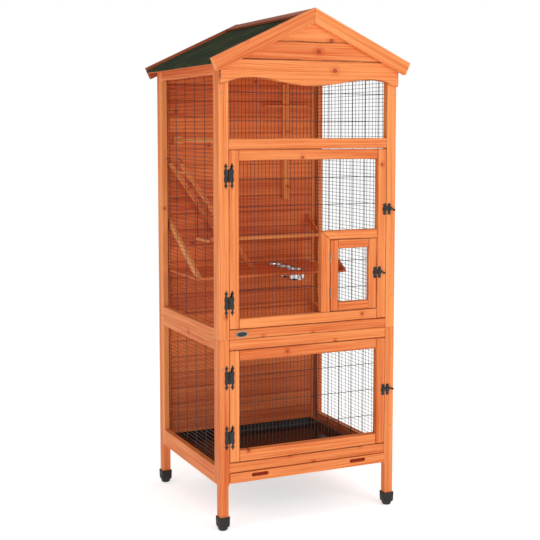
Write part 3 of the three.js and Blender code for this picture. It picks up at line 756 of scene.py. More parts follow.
# %% Back wall
for section, node in (("lower", "back_wall_lower"), ("upper", "back_wall_upper")):
    low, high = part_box(node)
    y_middle, thickness = middle_of(low, high, 1), high.y - low.y
    below = np.arange(FIRST_JOINT, low.z + 2 * THIN_END, -BOARD_STEP)
    above = np.arange(SECOND_JOINT, DECK_UNDER - 2 * BOARD_STEP / 3, BOARD_STEP)
    joints = np.concatenate([below[::-1], above])
    joints = [low.z, *joints[(joints > low.z) & (joints < high.z - THIN_END)], min(high.z, HEIGHT)]
    boards = []
    for number, (z_low, z_high) in enumerate(zip(joints[:-1], joints[1:])):
        label = f"{node}_{number}"
        boards.append(sloping_board(label, y_middle, thickness, high.x, z_low, z_high))
    # The back wall boards take the darker inside stain, painted shade.
    piece(f"back_boards_{section}", joined(boards), "frame", looks["inner"], [node])
    print(section, "back wall:", len(boards), "boards")

# %% [markdown]
# ## Roof
# Deck boards run from front to back on each slope. A sheet of green mineral felt lies on them and
# is folded down over the eave. Two boards cap the ridge, and a barge board closes each end of
# each slope, cut upright where the two meet at the top.


# %% Deck, barge boards and ridge
def slope_axes(side):
    """Down the slope, and square out of it, on the left or the right."""
    down = np.array([side * np.cos(TILT), 0.0, -np.sin(TILT)])
    out = np.array([side * np.sin(TILT), 0.0, np.cos(TILT)])
    return down, out


BARGE_WIDE = 44 * MM
SLOPE_LENGTH = HALF_SPAN / np.cos(TILT)
DECK_THICK = 11.6 * MM
FELT_THICK = 2.0 * MM
DECK_BOARDS = 6
DECK_GAP, DECK_SHORT = 0.15 * MM, 3.5 * MM
RIDGE_WIDE, RIDGE_THICK = 50 * MM, 7.8 * MM
RIDGE_GAP = 0.2 * MM

for side_name, side in SIDES:
    down, out = slope_axes(side)
    low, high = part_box(f"roof_panel_{side_name}")
    apex = np.array([side * RIDGE_GAP, 0.0, FELT_TOP])
    deck_width = (SLOPE_LENGTH - DECK_SHORT) / DECK_BOARDS
    deck_middle = apex - out * (FELT_THICK + DECK_THICK / 2)
    deck = []
    for number in range(DECK_BOARDS):
        label = f"deck_{side_name}_{number}"
        middle = deck_middle + down * deck_width * (number + 0.5)
        start, end = middle + AXES[1] * (low.y + MM), middle + AXES[1] * (high.y - MM)
        edge = deck_width / 2 - DECK_GAP
        lean = SLOPE * side if number == 0 else 0.0
        deck.append(plank(label, start, end, down, -edge, edge, DECK_THICK, lean=lean))
    # The deck boards take the darker inside stain, painted shade under the felt.
    piece(f"roof_deck_{side_name}", joined(deck), "frame", looks["inner"], [f"roof_panel_{side_name}"])
    for end_name, end in ENDS:
        node = f"barge_board_{end_name}_{side_name}"
        low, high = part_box(node)
        half = BARGE_WIDE / 2
        start = np.array([side * RIDGE_GAP, middle_of(low, high, 1), HEIGHT]) - out * half
        start = start + down * half * SLOPE
        finish = start + down * (SLOPE_LENGTH - half * SLOPE)
        shape = plank(node, start, finish, out, -half, half, high.y - low.y, mitre=(-SLOPE, 0.0))
        # The front barge boards keep the lit stain; the rear ones take the darker roof stain, painted shade.
        look = "pine" if end < 0 else "roof"
        piece(f"{node}_sawn", shape, "frame", looks[look], [node])
    low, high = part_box("ridge_cap")
    middle = np.array([side * RIDGE_GAP, 0.0, HEIGHT - MM]) - out * RIDGE_THICK / 2
    start, end = middle + AXES[1] * (low.y + MM), middle + AXES[1] * (high.y - MM)
    label = f"ridge_board_{side_name}"
    shape = plank(label, start, end, down, 0.0, RIDGE_WIDE, RIDGE_THICK, lean=SLOPE * side)
    # The ridge boards take the darker roof stain, painted shade.
    piece(label, shape, "frame", looks["roof"], ["ridge_cap"])

# %% Felt
FELT_STATIONS, FELT_POINTS = 70, 40
FOLD_DOWN, FOLD_ROUND, FOLD_THIN = 9 * MM, 2 * MM, 0.4 * MM
FELT_RIPPLE, FELT_SINK = 0.16 * MM, 2.2


def felt_sheet(side):
    """The felt's section, out along the slope, round the eave and back on its underside, carried
    from front to back. The upper side rises and falls by a few slow waves added together."""
    down, out = slope_axes(side)
    top = np.linspace(RIDGE_WIDE * 0.3, SLOPE_LENGTH - FOLD_ROUND, FELT_POINTS)
    eave = top[-1]
    bend = np.linspace(0.0, np.pi / 2, 5)[1:]
    outer_bend = np.stack([eave + FOLD_ROUND * np.sin(bend), FOLD_ROUND * (np.cos(bend) - 1)], -1)
    inner = eave + FOLD_THIN
    tail = np.array([[eave + FOLD_ROUND, -FOLD_DOWN], [inner, -FOLD_DOWN], [inner, -FELT_THICK]])
    under = np.stack([top[::-1], np.full(FELT_POINTS, -FELT_THICK)], -1)
    section = np.concatenate([np.stack([top, 0 * top], -1), outer_bend, tail, under])
    low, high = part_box("roof_panel_left")
    y = np.linspace(low.y + 0.5 * MM, high.y - 0.5 * MM, FELT_STATIONS)[:, None]
    s, lift = section[:, 0] + 0 * y, section[:, 1] + 0 * y
    waves = np.sin(s * 23 + y * 9 + side) + np.sin(s * 61 - y * 34 + 2 * side) + np.sin(y * 71 + s * 12)
    raised = np.arange(len(section)) < FELT_POINTS
    lift = lift + np.where(raised, FELT_RIPPLE * (waves - FELT_SINK), 0.0)
    apex = np.array([0.0, 0.0, FELT_TOP])
    points = apex + s[..., None] * down + lift[..., None] * out + y[..., None] * AXES[1]
    return points.reshape(-1, 3), lidded(*s.shape), {}


for side_name, side in SIDES:
    piece(f"roof_felt_{side_name}", felt_sheet(side), "frame", looks["felt"], [f"roof_panel_{side_name}"])

# %% [markdown]
# ## Welded wire mesh
# The mesh is made of round wires in two layers, welded where they cross: close together one way
# and far apart the other. On the sides the close wires lie level, on the doors they stand
# upright. Each wire is a slim six-sided rod in five stretches, so it can bow by a hair as real
# wire does.

# %% Mesh panels
CLOSE_RADIUS, WIDE_RADIUS = 0.76 * MM, 1.0 * MM
CLOSE_STEP, WIDE_STEP = 13.0 * MM, 91 * MM
WIRE_SIDES, WIRE_STRETCHES, WIRE_BOW = 6, 5, 0.45 * MM


def wires(name, starts, ends, bow_axis, radius):
    """Parallel round wires. Ring point = start + t (end - start) + bow sin(pi t) + radius turned."""
    starts, ends = np.array(starts, float), np.array(ends, float)
    direction = (ends[0] - starts[0]) / np.linalg.norm(ends[0] - starts[0])
    first, second = side_vectors(direction)
    angle = np.arange(WIRE_SIDES) * FULL_TURN / WIRE_SIDES
    ring = radius * (np.cos(angle)[:, None] * first + np.sin(angle)[:, None] * second)
    t = np.linspace(0.0, 1.0, WIRE_STRETCHES + 1)
    luck = np.random.default_rng(zlib.crc32(name.encode()))
    bow = luck.normal(0.0, WIRE_BOW, len(starts))[:, None] * np.sin(np.pi * t)
    centre = starts[:, None] + t[None, :, None] * (ends - starts)[:, None]
    centre = centre + bow[..., None] * np.array(bow_axis, float)
    points = (centre[:, :, None] + ring[None, None]).reshape(-1, 3)
    per_wire = len(t) * WIRE_SIDES
    base = np.arange(len(starts)) * per_wire
    quads = ring_quads(len(t), WIRE_SIDES)[None] + base[:, None, None]
    first_lid = np.arange(WIRE_SIDES)[::-1]
    lids = np.stack([first_lid, per_wire - WIRE_SIDES + np.arange(WIRE_SIDES)])[None] + base[:, None, None]
    faces = quads.reshape(-1, 4).tolist() + lids.reshape(-1, WIRE_SIDES).tolist()
    return points, faces, {}


def steps_between(low, high, step, through):
    """Places every step that include one given place."""
    return through + step * np.arange(np.ceil((low - through) / step), np.floor((high - through) / step) + 1)


def mesh_panel(name, low, high, normal, close, through, body, replaces=()):
    """Two layers of wire that fill a thin box. close is the axis that the close wires run along."""
    low, high = np.array(low, float), np.array(high, float)
    wide = next(i for i in range(3) if i not in (normal, close))
    layers = []
    centre = middle_of(low, high, normal)
    close_layer = (close, CLOSE_STEP, wide, -WIDE_RADIUS, CLOSE_RADIUS, low[wide] + 2 * MM)
    wide_layer = (wide, WIDE_STEP, close, CLOSE_RADIUS, WIDE_RADIUS, through)
    for run, step, across, offset, radius, start_place in (close_layer, wide_layer):
        places = steps_between(low[across] + radius, high[across] - radius, step, start_place)
        starts = np.zeros((len(places), 3))
        starts[:, across] = places
        starts[:, normal] = centre + 0.9 * offset
        ends = starts.copy()
        starts[:, run] = low[run]
        ends[:, run] = high[run]
        layers.append(wires(f"{name}_{run}", starts, ends, AXES[across], radius))
    return piece(name, joined(layers), body, looks["wire"], replaces)


SIDE_UPRIGHT_AT, WINDOW_LEVEL_AT, DOOR_LEVEL_AT = -27 * MM, 1336 * MM, 1150 * MM
BEHIND_GABLE = 22 * MM
for section in ("upper", "lower"):
    for side_name, side in SIDES:
        node = f"{section}_mesh_{side_name}"
        mesh_panel(f"{node}_wires", *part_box(node), 0, 1, SIDE_UPRIGHT_AT, "frame", [node])
low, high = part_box("window_mesh")
high = Vector((high.x, high.y, high.z + BEHIND_GABLE))
mesh_panel("window_mesh_wires", low, high, 1, 2, WINDOW_LEVEL_AT, "frame", ["window_mesh"])

# The mesh of the large door is an L round the small door: a wide part above, a narrow part left.
node, name = "upper_door_mesh", "upper_door_mesh_wires"
low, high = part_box(node)
bay_low, bay_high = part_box("small_door_frame")
jamb_left, header_low = bay_low.x - 17 * MM, bay_high.z + 16 * MM
for part, part_low, part_high in (
    ("top", (low.x, low.y, header_low), high), ("left", low, (jamb_left, high.y, header_low)),
):
    mesh_panel(f"{name}_{part}", part_low, part_high, 1, 2, DOOR_LEVEL_AT, "upper_door", [node])
for door, level in (("small_door", 868 * MM), ("lower_door", 414 * MM)):
    node = f"{door}_mesh"
    mesh_panel(f"{node}_wires", *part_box(node), 1, 2, level, door, [node])

# %% [markdown]
# ## Doors
# A door is two upright stiles with rails between them. The large door also carries the frame of
# the small one: a level header that meets an upright jamb in a mitre.

# %% Door frames
STILE, SMALL_STILE, HEADER = 34 * MM, 30 * MM, 30 * MM
BAY = {"left": 75 * MM, "low": 699 * MM, "high": 943 * MM}
UPPER_DOOR_FOOT, LOWER_DOOR_RAILS = 666 * MM, (38 * MM, 35 * MM)


def door_boards(node, body, stile, low_rail, high_rail):
    """The two stiles and the two rails of a door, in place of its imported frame."""
    low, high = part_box(node)
    pieces = {
        "left_stile": ((low.x, low.z), (low.x + stile, high.z), 2),
        "right_stile": ((high.x - stile, low.z), (high.x, high.z), 2),
        "low_rail": ((low.x + stile, low.z), (high.x - stile, low.z + low_rail), 0),
        "high_rail": ((low.x + stile, high.z - high_rail), (high.x - stile, high.z), 0),
    }
    for part, ((x0, z0), (x1, z1), along) in pieces.items():
        label = f"{body}_{part}"
        shape = board_in_box(label, (x0, low.y, z0), (x1, high.y, z1), along)
        # Door boards take painted shade in their joints along the eased edges.
        piece(label, shape, body, looks["jointed"], [node])
    return low, high


low, high = door_boards("upper_door_frame", "upper_door", STILE, BAY["low"] - UPPER_DOOR_FOOT, STILE)
y_middle, door_thick = middle_of(low, high, 1), high.y - low.y
corner = (BAY["left"] - STILE / 2, y_middle, BAY["high"] + HEADER / 2)
jamb = ("small_door_jamb", (corner[0], y_middle, BAY["low"]), corner, 0, STILE, (0.0, -HEADER / STILE))
far_end = (high.x - STILE, y_middle, corner[2])
header = ("small_door_header", corner, far_end, 2, HEADER, (-STILE / HEADER, 0.0))
for label, start, end, axis, wide, mitre in (jamb, header):
    shape = plank(label, start, end, AXES[axis], -wide / 2, wide / 2, door_thick, mitre=mitre)
    # The jamb and header take painted shade in their joints along the eased edges.
    piece(label, shape, "upper_door", looks["jointed"], ["upper_door_frame"])
door_boards("small_door_frame", "small_door", SMALL_STILE, SMALL_STILE, SMALL_STILE)
door_boards("lower_door_frame", "lower_door", STILE, *LOWER_DOOR_RAILS)

# %% [markdown]
# ## Hinges, catches and screws
# The large hinges are pressed plates with a waist, two round lobes and a pointed finial at each
# end. The outline is a smooth curve through a few points, and the plate is that outline with its
# edge rolled over. Each hinge turns on a pin: the outer knuckles belong to the post, the middle
# one to the door.


# %% Plates
def smooth_loop(points, per_point=5):
    """A closed curve through the points: between two of them, the cubic whose slope at each is
    half the step from its neighbour before to its neighbour after."""
    p1 = np.array(points, float)
    p0, p2, p3 = np.roll(p1, 1, 0), np.roll(p1, -1, 0), np.roll(p1, -2, 0)
    t = (np.arange(per_point) / per_point)[None, :, None]
    a, b, c, d = (p[:, None] for p in (p0, p1, p2, p3))
    curve = 2 * b + (c - a) * t + (2 * a - 5 * b + 4 * c - d) * t**2 + (3 * b - a - 3 * c + d) * t**3
    return (curve / 2).reshape(-1, 2)


def plate(outline, thickness, roll, base, right, up, out):
    """The outline in the plane of right and up, raised by thickness with a rolled front edge."""
    step = np.roll(outline, -1, 0) - np.roll(outline, 1, 0)
    normal = np.stack([step[:, 1], -step[:, 0]], -1)
    normal /= np.linalg.norm(normal, axis=1, keepdims=True) + 1e-12
    area = np.sum(outline[:, 0] * np.roll(outline[:, 1], -1) - np.roll(outline[:, 0], -1) * outline[:, 1])
    normal *= np.sign(area)
    steps = [(0.0, 0.0), (0.0, thickness - roll), (0.3 * roll, thickness - 0.3 * roll), (roll, thickness)]
    rings = []
    for inward, lift in steps:
        rings.append(np.column_stack([outline - normal * inward, np.full(len(outline), lift)]))
    flat = np.concatenate(rings)
    points = np.array(base, float) + flat @ np.array([right, up, out], float)
    return points, lidded(len(steps), len(outline)), {}


def plate_on_front(outline, thickness, roll, x, front, z):
    """A plate that lies upright and faces the front."""
    return plate(outline, thickness, roll, (x, front, z), RIGHT, UP, FORWARD)


def bare(shape):
    """A shape without its timber marks, to be joined with metal."""
    return shape[0], shape[1], {}


SCREW_SIDES = 12
SCREW_CROSS = 0.62


def screw_heads(places, out, radius=3.2 * MM):
    """Domed heads. Height = 0.45 radius (1 - d squared), sunk where the cross slot is cut."""
    out = np.array(out, float)
    first, second = side_vectors(out)
    angle = np.arange(SCREW_SIDES) * FULL_TURN / SCREW_SIDES
    d = np.array([1.0, 1.0, 0.82, 0.5, 0.16])[:, None]
    height = 0.45 * radius * (1 - d**2) * (np.arange(len(d)) > 0)[:, None] + 0 * angle
    slot = (np.arange(SCREW_SIDES) % 3 == 0) & (d < SCREW_CROSS)
    height = height - np.where(slot, 0.3 * radius, 0.0)
    height[1] = 0.12 * radius
    ring = np.cos(angle)[:, None] * first + np.sin(angle)[:, None] * second
    head = radius * d[..., None] * ring + height[..., None] * out
    head, faces = head.reshape(-1, 3), lidded(len(d), SCREW_SIDES)
    return joined((np.array(place, float) + head, faces, {}) for place in places)


# %% Ornamental hinges
LEAF_HALF = np.array([
    (0.8, 17.5), (4.6, 18.6), (7.5, 22), (8.0, 25.6), (6.6, 28.2), (4.2, 30.6), (7.4, 34.6), (10.5, 41),
    (13.6, 34.6), (16.8, 30.6), (14.4, 28.2), (13.2, 25.6), (14.2, 22), (16.6, 17), (16.8, 9), (15.6, 0),
]) * MM

KNUCKLE = 2.5 * MM
HINGE_FRONT = 3 * MM
FACE = -295 * MM
PROUD = FACE - 0.3 * MM
PIN_AT = -290.25 * MM
LEAF_THICK, LEAF_ROLL = 1.9 * MM, 0.9 * MM
DOOR_BARREL, POST_BARREL = 5.6 * MM, (6 * MM, 17 * MM)
PIN_TIP = np.array([(0, 0), (1.5, 0.5), (1.9, 1.8), (1.4, 3.2), (0, 3.8)]) * MM
LEAF_SCREWS = np.array([(-25, 11.2), (0, 9.4), (25, 11.2)]) * MM
screws = {"frame": [], "upper_door": [], "small_door": [], "lower_door": []}


def leaf_outline(inner):
    """The upper half of the leaf and its mirror image below, closed along a straight inner edge."""
    half = LEAF_HALF.copy()
    half[0, 0] = inner
    lower = half[:-1][::-1] * [1, -1]
    return smooth_loop(np.concatenate([half, lower]))


def knuckle(x, z_low, z_high, r=KNUCKLE, rim=0.4 * MM, segments=20):
    """One barrel of a hinge, with rounded rims."""
    tall = z_high - z_low
    profile = [[r - rim, 0], [r, rim], [r, tall - rim], [r - rim, tall]]
    return bare(turned(profile, (x, FACE - HINGE_FRONT, z_low), UP, segments))


for door in ("upper_door", "lower_door"):
    for place in ("top", "bottom"):
        node, leaf_node = f"{door}_hinge_{place}", f"post_leaf_{door}_{place}"
        x, z = PIN_AT, middle_of(*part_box(node), 2)
        base = (x, PROUD, z)
        door_leaf = plate(leaf_outline(0.9 * MM), LEAF_THICK, LEAF_ROLL, base, RIGHT, UP, FORWARD)
        middle = knuckle(x, z - DOOR_BARREL, z + DOOR_BARREL)
        piece(f"{node}_leaf", joined([door_leaf, middle]), door, looks["iron"], [node])
        post_leaf = plate(leaf_outline(3.2 * MM), LEAF_THICK, LEAF_ROLL, base, LEFT, UP, FORWARD)
        near, far = POST_BARREL
        parts = [post_leaf, knuckle(x, z + near, z + far), knuckle(x, z - far, z - near)]
        for end, way in ((z + far, UP), (z - far, DOWN)):
            parts.append(bare(turned(PIN_TIP, (x, FACE - HINGE_FRONT, end), way, 16)))
        piece(f"{leaf_node}_plate", joined(parts), "frame", looks["iron"], [leaf_node])
        for rise, out_by in LEAF_SCREWS:
            screws[door].append((x + out_by, PROUD - LEAF_THICK, z + rise))
            screws["frame"].append((x - out_by, PROUD - LEAF_THICK, z + rise))

# %% Small hinges
SMALL_KNUCKLE = {"r": 1.75 * MM, "rim": 0.3 * MM, "segments": 16}
SMALL_LEAF, SMALL_ROLL, SMALL_BARREL, SMALL_GAP = 0.42 * MM, 0.1 * MM, 5 * MM, 0.3 * MM
APART = 0.02 * MM

for place in ("top", "bottom"):
    node = f"small_door_hinge_{place}"
    low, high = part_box(node)
    x, z, tall = middle_of(low, high, 0), middle_of(low, high, 2), (high.z - low.z) / 2
    front = FACE - HINGE_FRONT
    deep = high.y - front
    half = np.array([(deep, tall - MM), (deep - MM, tall), (0, tall)])
    corners = np.concatenate([half[::-1] * [1, -1], half])
    leaf, fixed = (
        plate(corners, SMALL_LEAF, SMALL_ROLL, (x + way[0] * APART, front, z), (0, 1, 0), UP, way)
        for way in (RIGHT, LEFT)
    )
    barrel = knuckle(x, z - SMALL_BARREL, z + SMALL_BARREL, **SMALL_KNUCKLE)
    piece(f"{node}_leaf", joined([leaf, barrel]), "small_door", looks["screw"], [node])
    near = SMALL_BARREL + SMALL_GAP
    above = knuckle(x, z + near, z + tall, **SMALL_KNUCKLE)
    below = knuckle(x, z - tall, z - near, **SMALL_KNUCKLE)
    piece(f"{node}_fixed_leaf", joined([fixed, above, below]), "upper_door", looks["screw"])

# %% Catches
CATCH_QUARTER = np.array([(3.4, 17.2), (5.2, 13.8), (3.7, 10.6), (3.9, 8.6), (5.9, 5.4)])
CATCH_TOP, CATCH_SIDE = np.array([(0, 18.5)]), np.array([(6.2, 0)])
right_half = np.concatenate([CATCH_QUARTER * [1, -1], CATCH_SIDE, CATCH_QUARTER[::-1]])
around = np.concatenate([-CATCH_TOP, right_half, CATCH_TOP, -right_half])
CATCH_PLATE = smooth_loop(around * MM, 3)
LEVER_ARM = smooth_loop(np.array([
    (-8.6, -2.2), (-4.6, -3.2), (0, -4.6), (4.6, -4.4), (9, -5.6), (14, -8.6), (17.4, -10.2), (19.6, -7.4),
    (16.4, -4.4), (11, -1.6), (5, 3.2), (0, 5.2), (-4.6, 3.4), (-8.6, 2.2),
]) * MM, 3)
KEEPER_SHIFT = 17.5 * MM
CATCH_DROP = 5 * MM
BALL = 3.5 * MM
CATCH_GROWTH = np.array([1.25, 1.06])
CATCH_THICK, CATCH_ROLL = 2.2 * MM, 1.0 * MM
CATCH_SCREW = 13.6 * MM
LIP = smooth_loop(np.array([(-3, 1), (3, 1.4), (8.4, 1.6), (8.6, 8.4), (3, 8.8), (-3, 8.2)]) * MM, 3)
LIP_THICK, LIP_ROLL = 5.4 * MM, 1.2 * MM
ARM_THICK, ARM_ROLL, ARM_LIFT, ARM_GROWTH = 2.8 * MM, 1.2 * MM, 4.0 * MM, [1.0, 1.15]
BOSS = np.array([(4.8, 2.7), (5.4, 3), (5.4, 6.2), (4.6, 7.6), (2.6, 8.4), (0.4, 8.6)]) * MM
BALL_LIFT, BALL_OUT, BALL_DOWN, BALL_TIP = 7.2 * MM, 17.6 * MM, 8.2 * MM, 0.05 * MM
LEVERS = (
    ("upper", "frame", "upper_door"), ("small", "upper_door", "small_door"), ("lower", "frame", "lower_door"),
)


def lever_shape(x, z, lift):
    """The lever's arm, its domed boss and the ball at its end, turned up by lift."""
    right, up = (np.cos(lift), 0, np.sin(lift)), (-np.sin(lift), 0, np.cos(lift))
    base = (x, FACE - ARM_LIFT, z)
    arm = plate(LEVER_ARM * ARM_GROWTH, ARM_THICK, ARM_ROLL, base, right, up, FORWARD)
    boss = bare(turned(BOSS, (x, FACE, z), FORWARD, 18))
    turn = np.linspace(-0.5 * np.pi, 0.5 * np.pi, 9)
    ball_profile = np.column_stack([BALL * np.cos(turn) + BALL_TIP, BALL * np.sin(turn)])
    ball_at = np.array([x, FACE - BALL_LIFT, z]) + BALL_OUT * np.array(right) - BALL_DOWN * np.array(up)
    return joined([arm, boss, bare(turned(ball_profile, ball_at, FORWARD, 16))])


for which, fixed, door in LEVERS:
    node = f"latch_lever_{which}_door"
    joint = next(j for j in frame["joints"] if j["child"] == f"{which}_latch")
    x, _, pivot_z = joint["pos_m"]
    z = pivot_z - CATCH_DROP
    base, keeper = (
        plate_on_front(CATCH_PLATE * CATCH_GROWTH, CATCH_THICK, CATCH_ROLL, at, PROUD, z)
        for at in (x, x - KEEPER_SHIFT)
    )
    piece(f"{node}_plate", base, fixed, looks["iron"])
    lug = plate_on_front(LIP, LIP_THICK, LIP_ROLL, x - KEEPER_SHIFT, PROUD, z)
    piece(f"{node}_keeper", joined([keeper, lug]), door, looks["iron"])
    low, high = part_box(node)
    tip_rise = high.z + low.z - 2 * pivot_z + 9.6 * MM
    lift = np.arctan2(tip_rise, 2 * (high.x - x)) if which == "lower" else 0.0
    piece(f"{node}_forged", lever_shape(x, pivot_z, lift), f"{which}_latch", looks["iron"], [node])
    print(node, "lift", round(float(np.degrees(lift)), 1), "degrees")
    for rise in (-CATCH_SCREW, CATCH_SCREW):
        screws[fixed].append((x, PROUD - CATCH_THICK, z + rise))
        screws[door].append((x - KEEPER_SHIFT, PROUD - CATCH_THICK, z + rise))

# %% Blank name plate
PLATE_X, PLATE_Z = -246 * MM, 648 * MM
PLATE_HALF, PLATE_THICK, PLATE_FIELD = np.array([23, 10]) * MM, 1.2 * MM, 0.76
angle = np.arange(40) * FULL_TURN / 40
oval = np.column_stack([np.cos(angle), np.sin(angle)]) * PLATE_HALF
rim_plate = plate_on_front(oval, PLATE_THICK, 0.4 * MM, PLATE_X, FACE, PLATE_Z)
piece("name_plate_rim", rim_plate, "frame", looks["screw"])
field = plate_on_front(oval * PLATE_FIELD, 0.4 * MM, 0.1 * MM, PLATE_X, FACE - PLATE_THICK, PLATE_Z)
piece("name_plate_field", field, "frame", looks["iron"])

# %% Screws
SMALL_SCREW, WOOD_SCREW = 2.1 * MM, 2.7 * MM
for body, places in screws.items():
    piece(f"{body}_small_screws", screw_heads(places, FORWARD, SMALL_SCREW), body, looks["iron"])
FRONT_X, FRONT_LEVELS = 314 * MM, (1425 * MM, 742 * MM, 537 * MM, 287 * MM)
places = [(side * FRONT_X, FACE, z) for _, side in SIDES for z in FRONT_LEVELS]
piece("frame_front_screws", screw_heads(places, FORWARD, WOOD_SCREW), "frame", looks["screw"])
SIDE_SCREWS = np.array([(y, z) for y in (-150, 150) for z in (617, 649)]
                       + [(y, z) for y in (-281, 281) for z in (178, 615, 649, 1500)]) * MM
for side_name, side in SIDES:
    heads = screw_heads([(side * HALF_WIDTH, y, z) for y, z in SIDE_SCREWS], (side, 0, 0), WOOD_SCREW)
    piece(f"frame_side_screws_{side_name}", heads, "frame", looks["screw"])

# %% [markdown]
# ## Rubber caps, tray and cups
# A cap is square at its mouth and round where it stands. Its rings are superellipses whose power
# falls from ten, nearly a square, to two, an ellipse. The tray's rings are rectangles with round
# corners, up the outside, over the rim and down the sloping inside.


# %% Caps
def cap_rings(centre, table, sides=40):
    """Rings at angle q with radius (|cos q / a|^n + |sin q / b|^n)^(-1/n), one per table row."""
    angle = np.arange(sides) * FULL_TURN / sides
    z, a, b, n = (np.array(table, float).T[i][:, None] for i in range(4))
    radius = (np.abs(np.cos(angle) / a) ** n + np.abs(np.sin(angle) / b) ** n) ** (-1 / n)
    x, y = centre[0] + radius * np.cos(angle), centre[1] + radius * np.sin(angle)
    return np.stack([x, y, z + 0 * angle], -1).reshape(-1, 3), lidded(len(table), sides), {}


CAP_TABLE = np.array([
    (0, 7.5, 7.5, 2), (0.2, 9, 9, 2), (1.5, 13, 13, 2), (5, 15.8, 15.8, 2), (11, 17, 16.6, 2.3),
    (13.4, 18, 17, 5), (16, 19, 17.8, 9), (30, 19.4, 18.2, 10), (44, 19.8, 18.6, 10), (46, 19.6, 18.4, 10),
    (46.6, 18.8, 17.6, 10), (46.2, 16.2, 15, 10), (44, 15.6, 14.4, 12), (18.2, 15.5, 14.3, 12),
])
CAP_UNITS = np.array([MM, MM, MM, 1.0])
for side_name, side in SIDES:
    for end_name, end in ENDS:
        node = f"foot_cap_{end_name}_{side_name}"
        low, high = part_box(node)
        shape = cap_rings((middle_of(low, high, 0), middle_of(low, high, 1)), CAP_TABLE * CAP_UNITS)
        piece(f"{node}_moulded", shape, "frame", looks["rubber"], [node])

# %% Tray
CORNER_STEPS = 6


def round_rectangle(x, y, radius, z):
    """One ring: a quarter circle of CORNER_STEPS + 1 points round each corner."""
    turn = np.linspace(0.0, np.pi / 2, CORNER_STEPS + 1)
    angle = np.concatenate([turn + quarter * np.pi / 2 for quarter in range(4)])
    sign_x = np.repeat([1, -1, -1, 1], CORNER_STEPS + 1)
    sign_y = np.repeat([1, 1, -1, -1], CORNER_STEPS + 1)
    middle = (x[0] + x[1]) / 2, (y[0] + y[1]) / 2
    half = (x[1] - x[0]) / 2 - radius, (y[1] - y[0]) / 2 - radius
    px = middle[0] + sign_x * half[0] + radius * np.cos(angle)
    py = middle[1] + sign_y * half[1] + radius * np.sin(angle)
    return np.stack([px, py, np.full(len(px), z)], -1)


low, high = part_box("tray")
TRAY_ROWS = np.array([
    (3, 6, 0), (0.5, 8, 1.5), (0, 8, 4), (0, 8, 24.5), (0.6, 8, 26.4), (2.4, 8, 27), (7, 7, 27),
    (8.6, 7, 26), (27, 5, 5), (30, 5, 3), (34, 5, 2.5),
]) * MM
rings = []
for edge, radius, lift in TRAY_ROWS:
    ring_x, ring_y = (low.x + edge, high.x - edge), (low.y + edge, high.y - edge)
    rings.append(round_rectangle(ring_x, ring_y, radius, low.z + lift))
shape = (np.concatenate(rings), lidded(len(rings), len(rings[0])), {})
piece("tray_moulded", shape, "drawer", looks["tray"], ["tray"])

# %% Cups
CUP_PROFILE = np.array([
    (0, 0), (20, 0), (26, 2), (30, 7), (33.6, 36), (34.4, 39.4), (36, 40.2), (38.8, 40.3), (39.4, 40.9),
    (39, 41.5), (36, 41.6), (34, 41), (32.8, 39), (31.8, 36), (28.4, 8), (24.8, 3.2), (19, 1.4), (0, 1.4),
]) * MM
for name in ("front", "middle", "rear"):
    low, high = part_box(f"cup_{name}")
    base = (middle_of(low, high, 0), middle_of(low, high, 1), low.z)
    shape = bare(turned(CUP_PROFILE, base, UP, 64))
    piece(f"cup_{name}_spun", shape, f"{name}_cup", looks["steel"], [f"cup_{name}"])

# %% [markdown]
# ## Fittings inside
# The shelf and the tray front keep their imported shapes, with grain that runs along them. The
# ladder, perches and swing are turned rods and small boards.

# %% Shelf and tray front
# The two imported parts lie along X, as the grain does.
# The shelf takes the darker inside stain, painted shade; the tray front keeps the lit stain.
for node, stain, log_place in (
    ("shelf", (PAINTED_SHADE_PALE, PAINTED_SHADE_DEEP, PAINTED_SEAM_SHADE), (3.1, 7.7, 1.3)),
    ("tray_front", (PALE_STAIN, DEEP_STAIN, RUBBED_PALE), (9.4, 4.2, 6.6)),
):
    finish = timber_finish(f"{node.replace('_', ' ')} pine", *stain, packed_grain=log_place)
    frame["nodes"][node].data.materials.clear()
    frame["nodes"][node].data.materials.append(finish)

# %% Painted shade at the back of the finger slots
SLOT_MIDDLE, SLOT_LEVEL, SLOT_REACH, SLOT_ROUND = 183 * MM, 177.5 * MM, 30.6 * MM, 6.1 * MM
SLOT_DEPTH, SLOT_SHADE_THICK, SLOT_SHADE_ROLL = 10 * MM, 0.8 * MM, 0.2 * MM
low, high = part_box("tray_front")
slot_shade_back = low.y + SLOT_DEPTH - 0.05 * MM
turn = np.linspace(-0.5 * np.pi, 0.5 * np.pi, 13)
cheek = np.column_stack([np.cos(turn), np.sin(turn)]) * SLOT_ROUND + [SLOT_REACH - SLOT_ROUND, 0]
slot_outline = np.concatenate([cheek, -cheek])
# Thin dark plates at the back of each finger slot, in the darkest tone: painted shade in the recess.
slot_shade_finish = (timber_finish("slot pine", PAINTED_SLOT_SHADE_PALE, PAINTED_SLOT_SHADE_DEEP, PAINTED_SEAM_SHADE, 0.6), "pine")
for side_name, side in SIDES:
    points, faces, _ = plate_on_front(
        slot_outline, SLOT_SHADE_THICK, SLOT_SHADE_ROLL, side * SLOT_MIDDLE, slot_shade_back, SLOT_LEVEL)
    ones = np.ones(len(points))
    shape = (points, faces, {"timber": points, "tone": ones, "edge": 0 * ones})
    piece(f"finger_slot_painted_shade_{side_name}", shape, "drawer", slot_shade_finish)

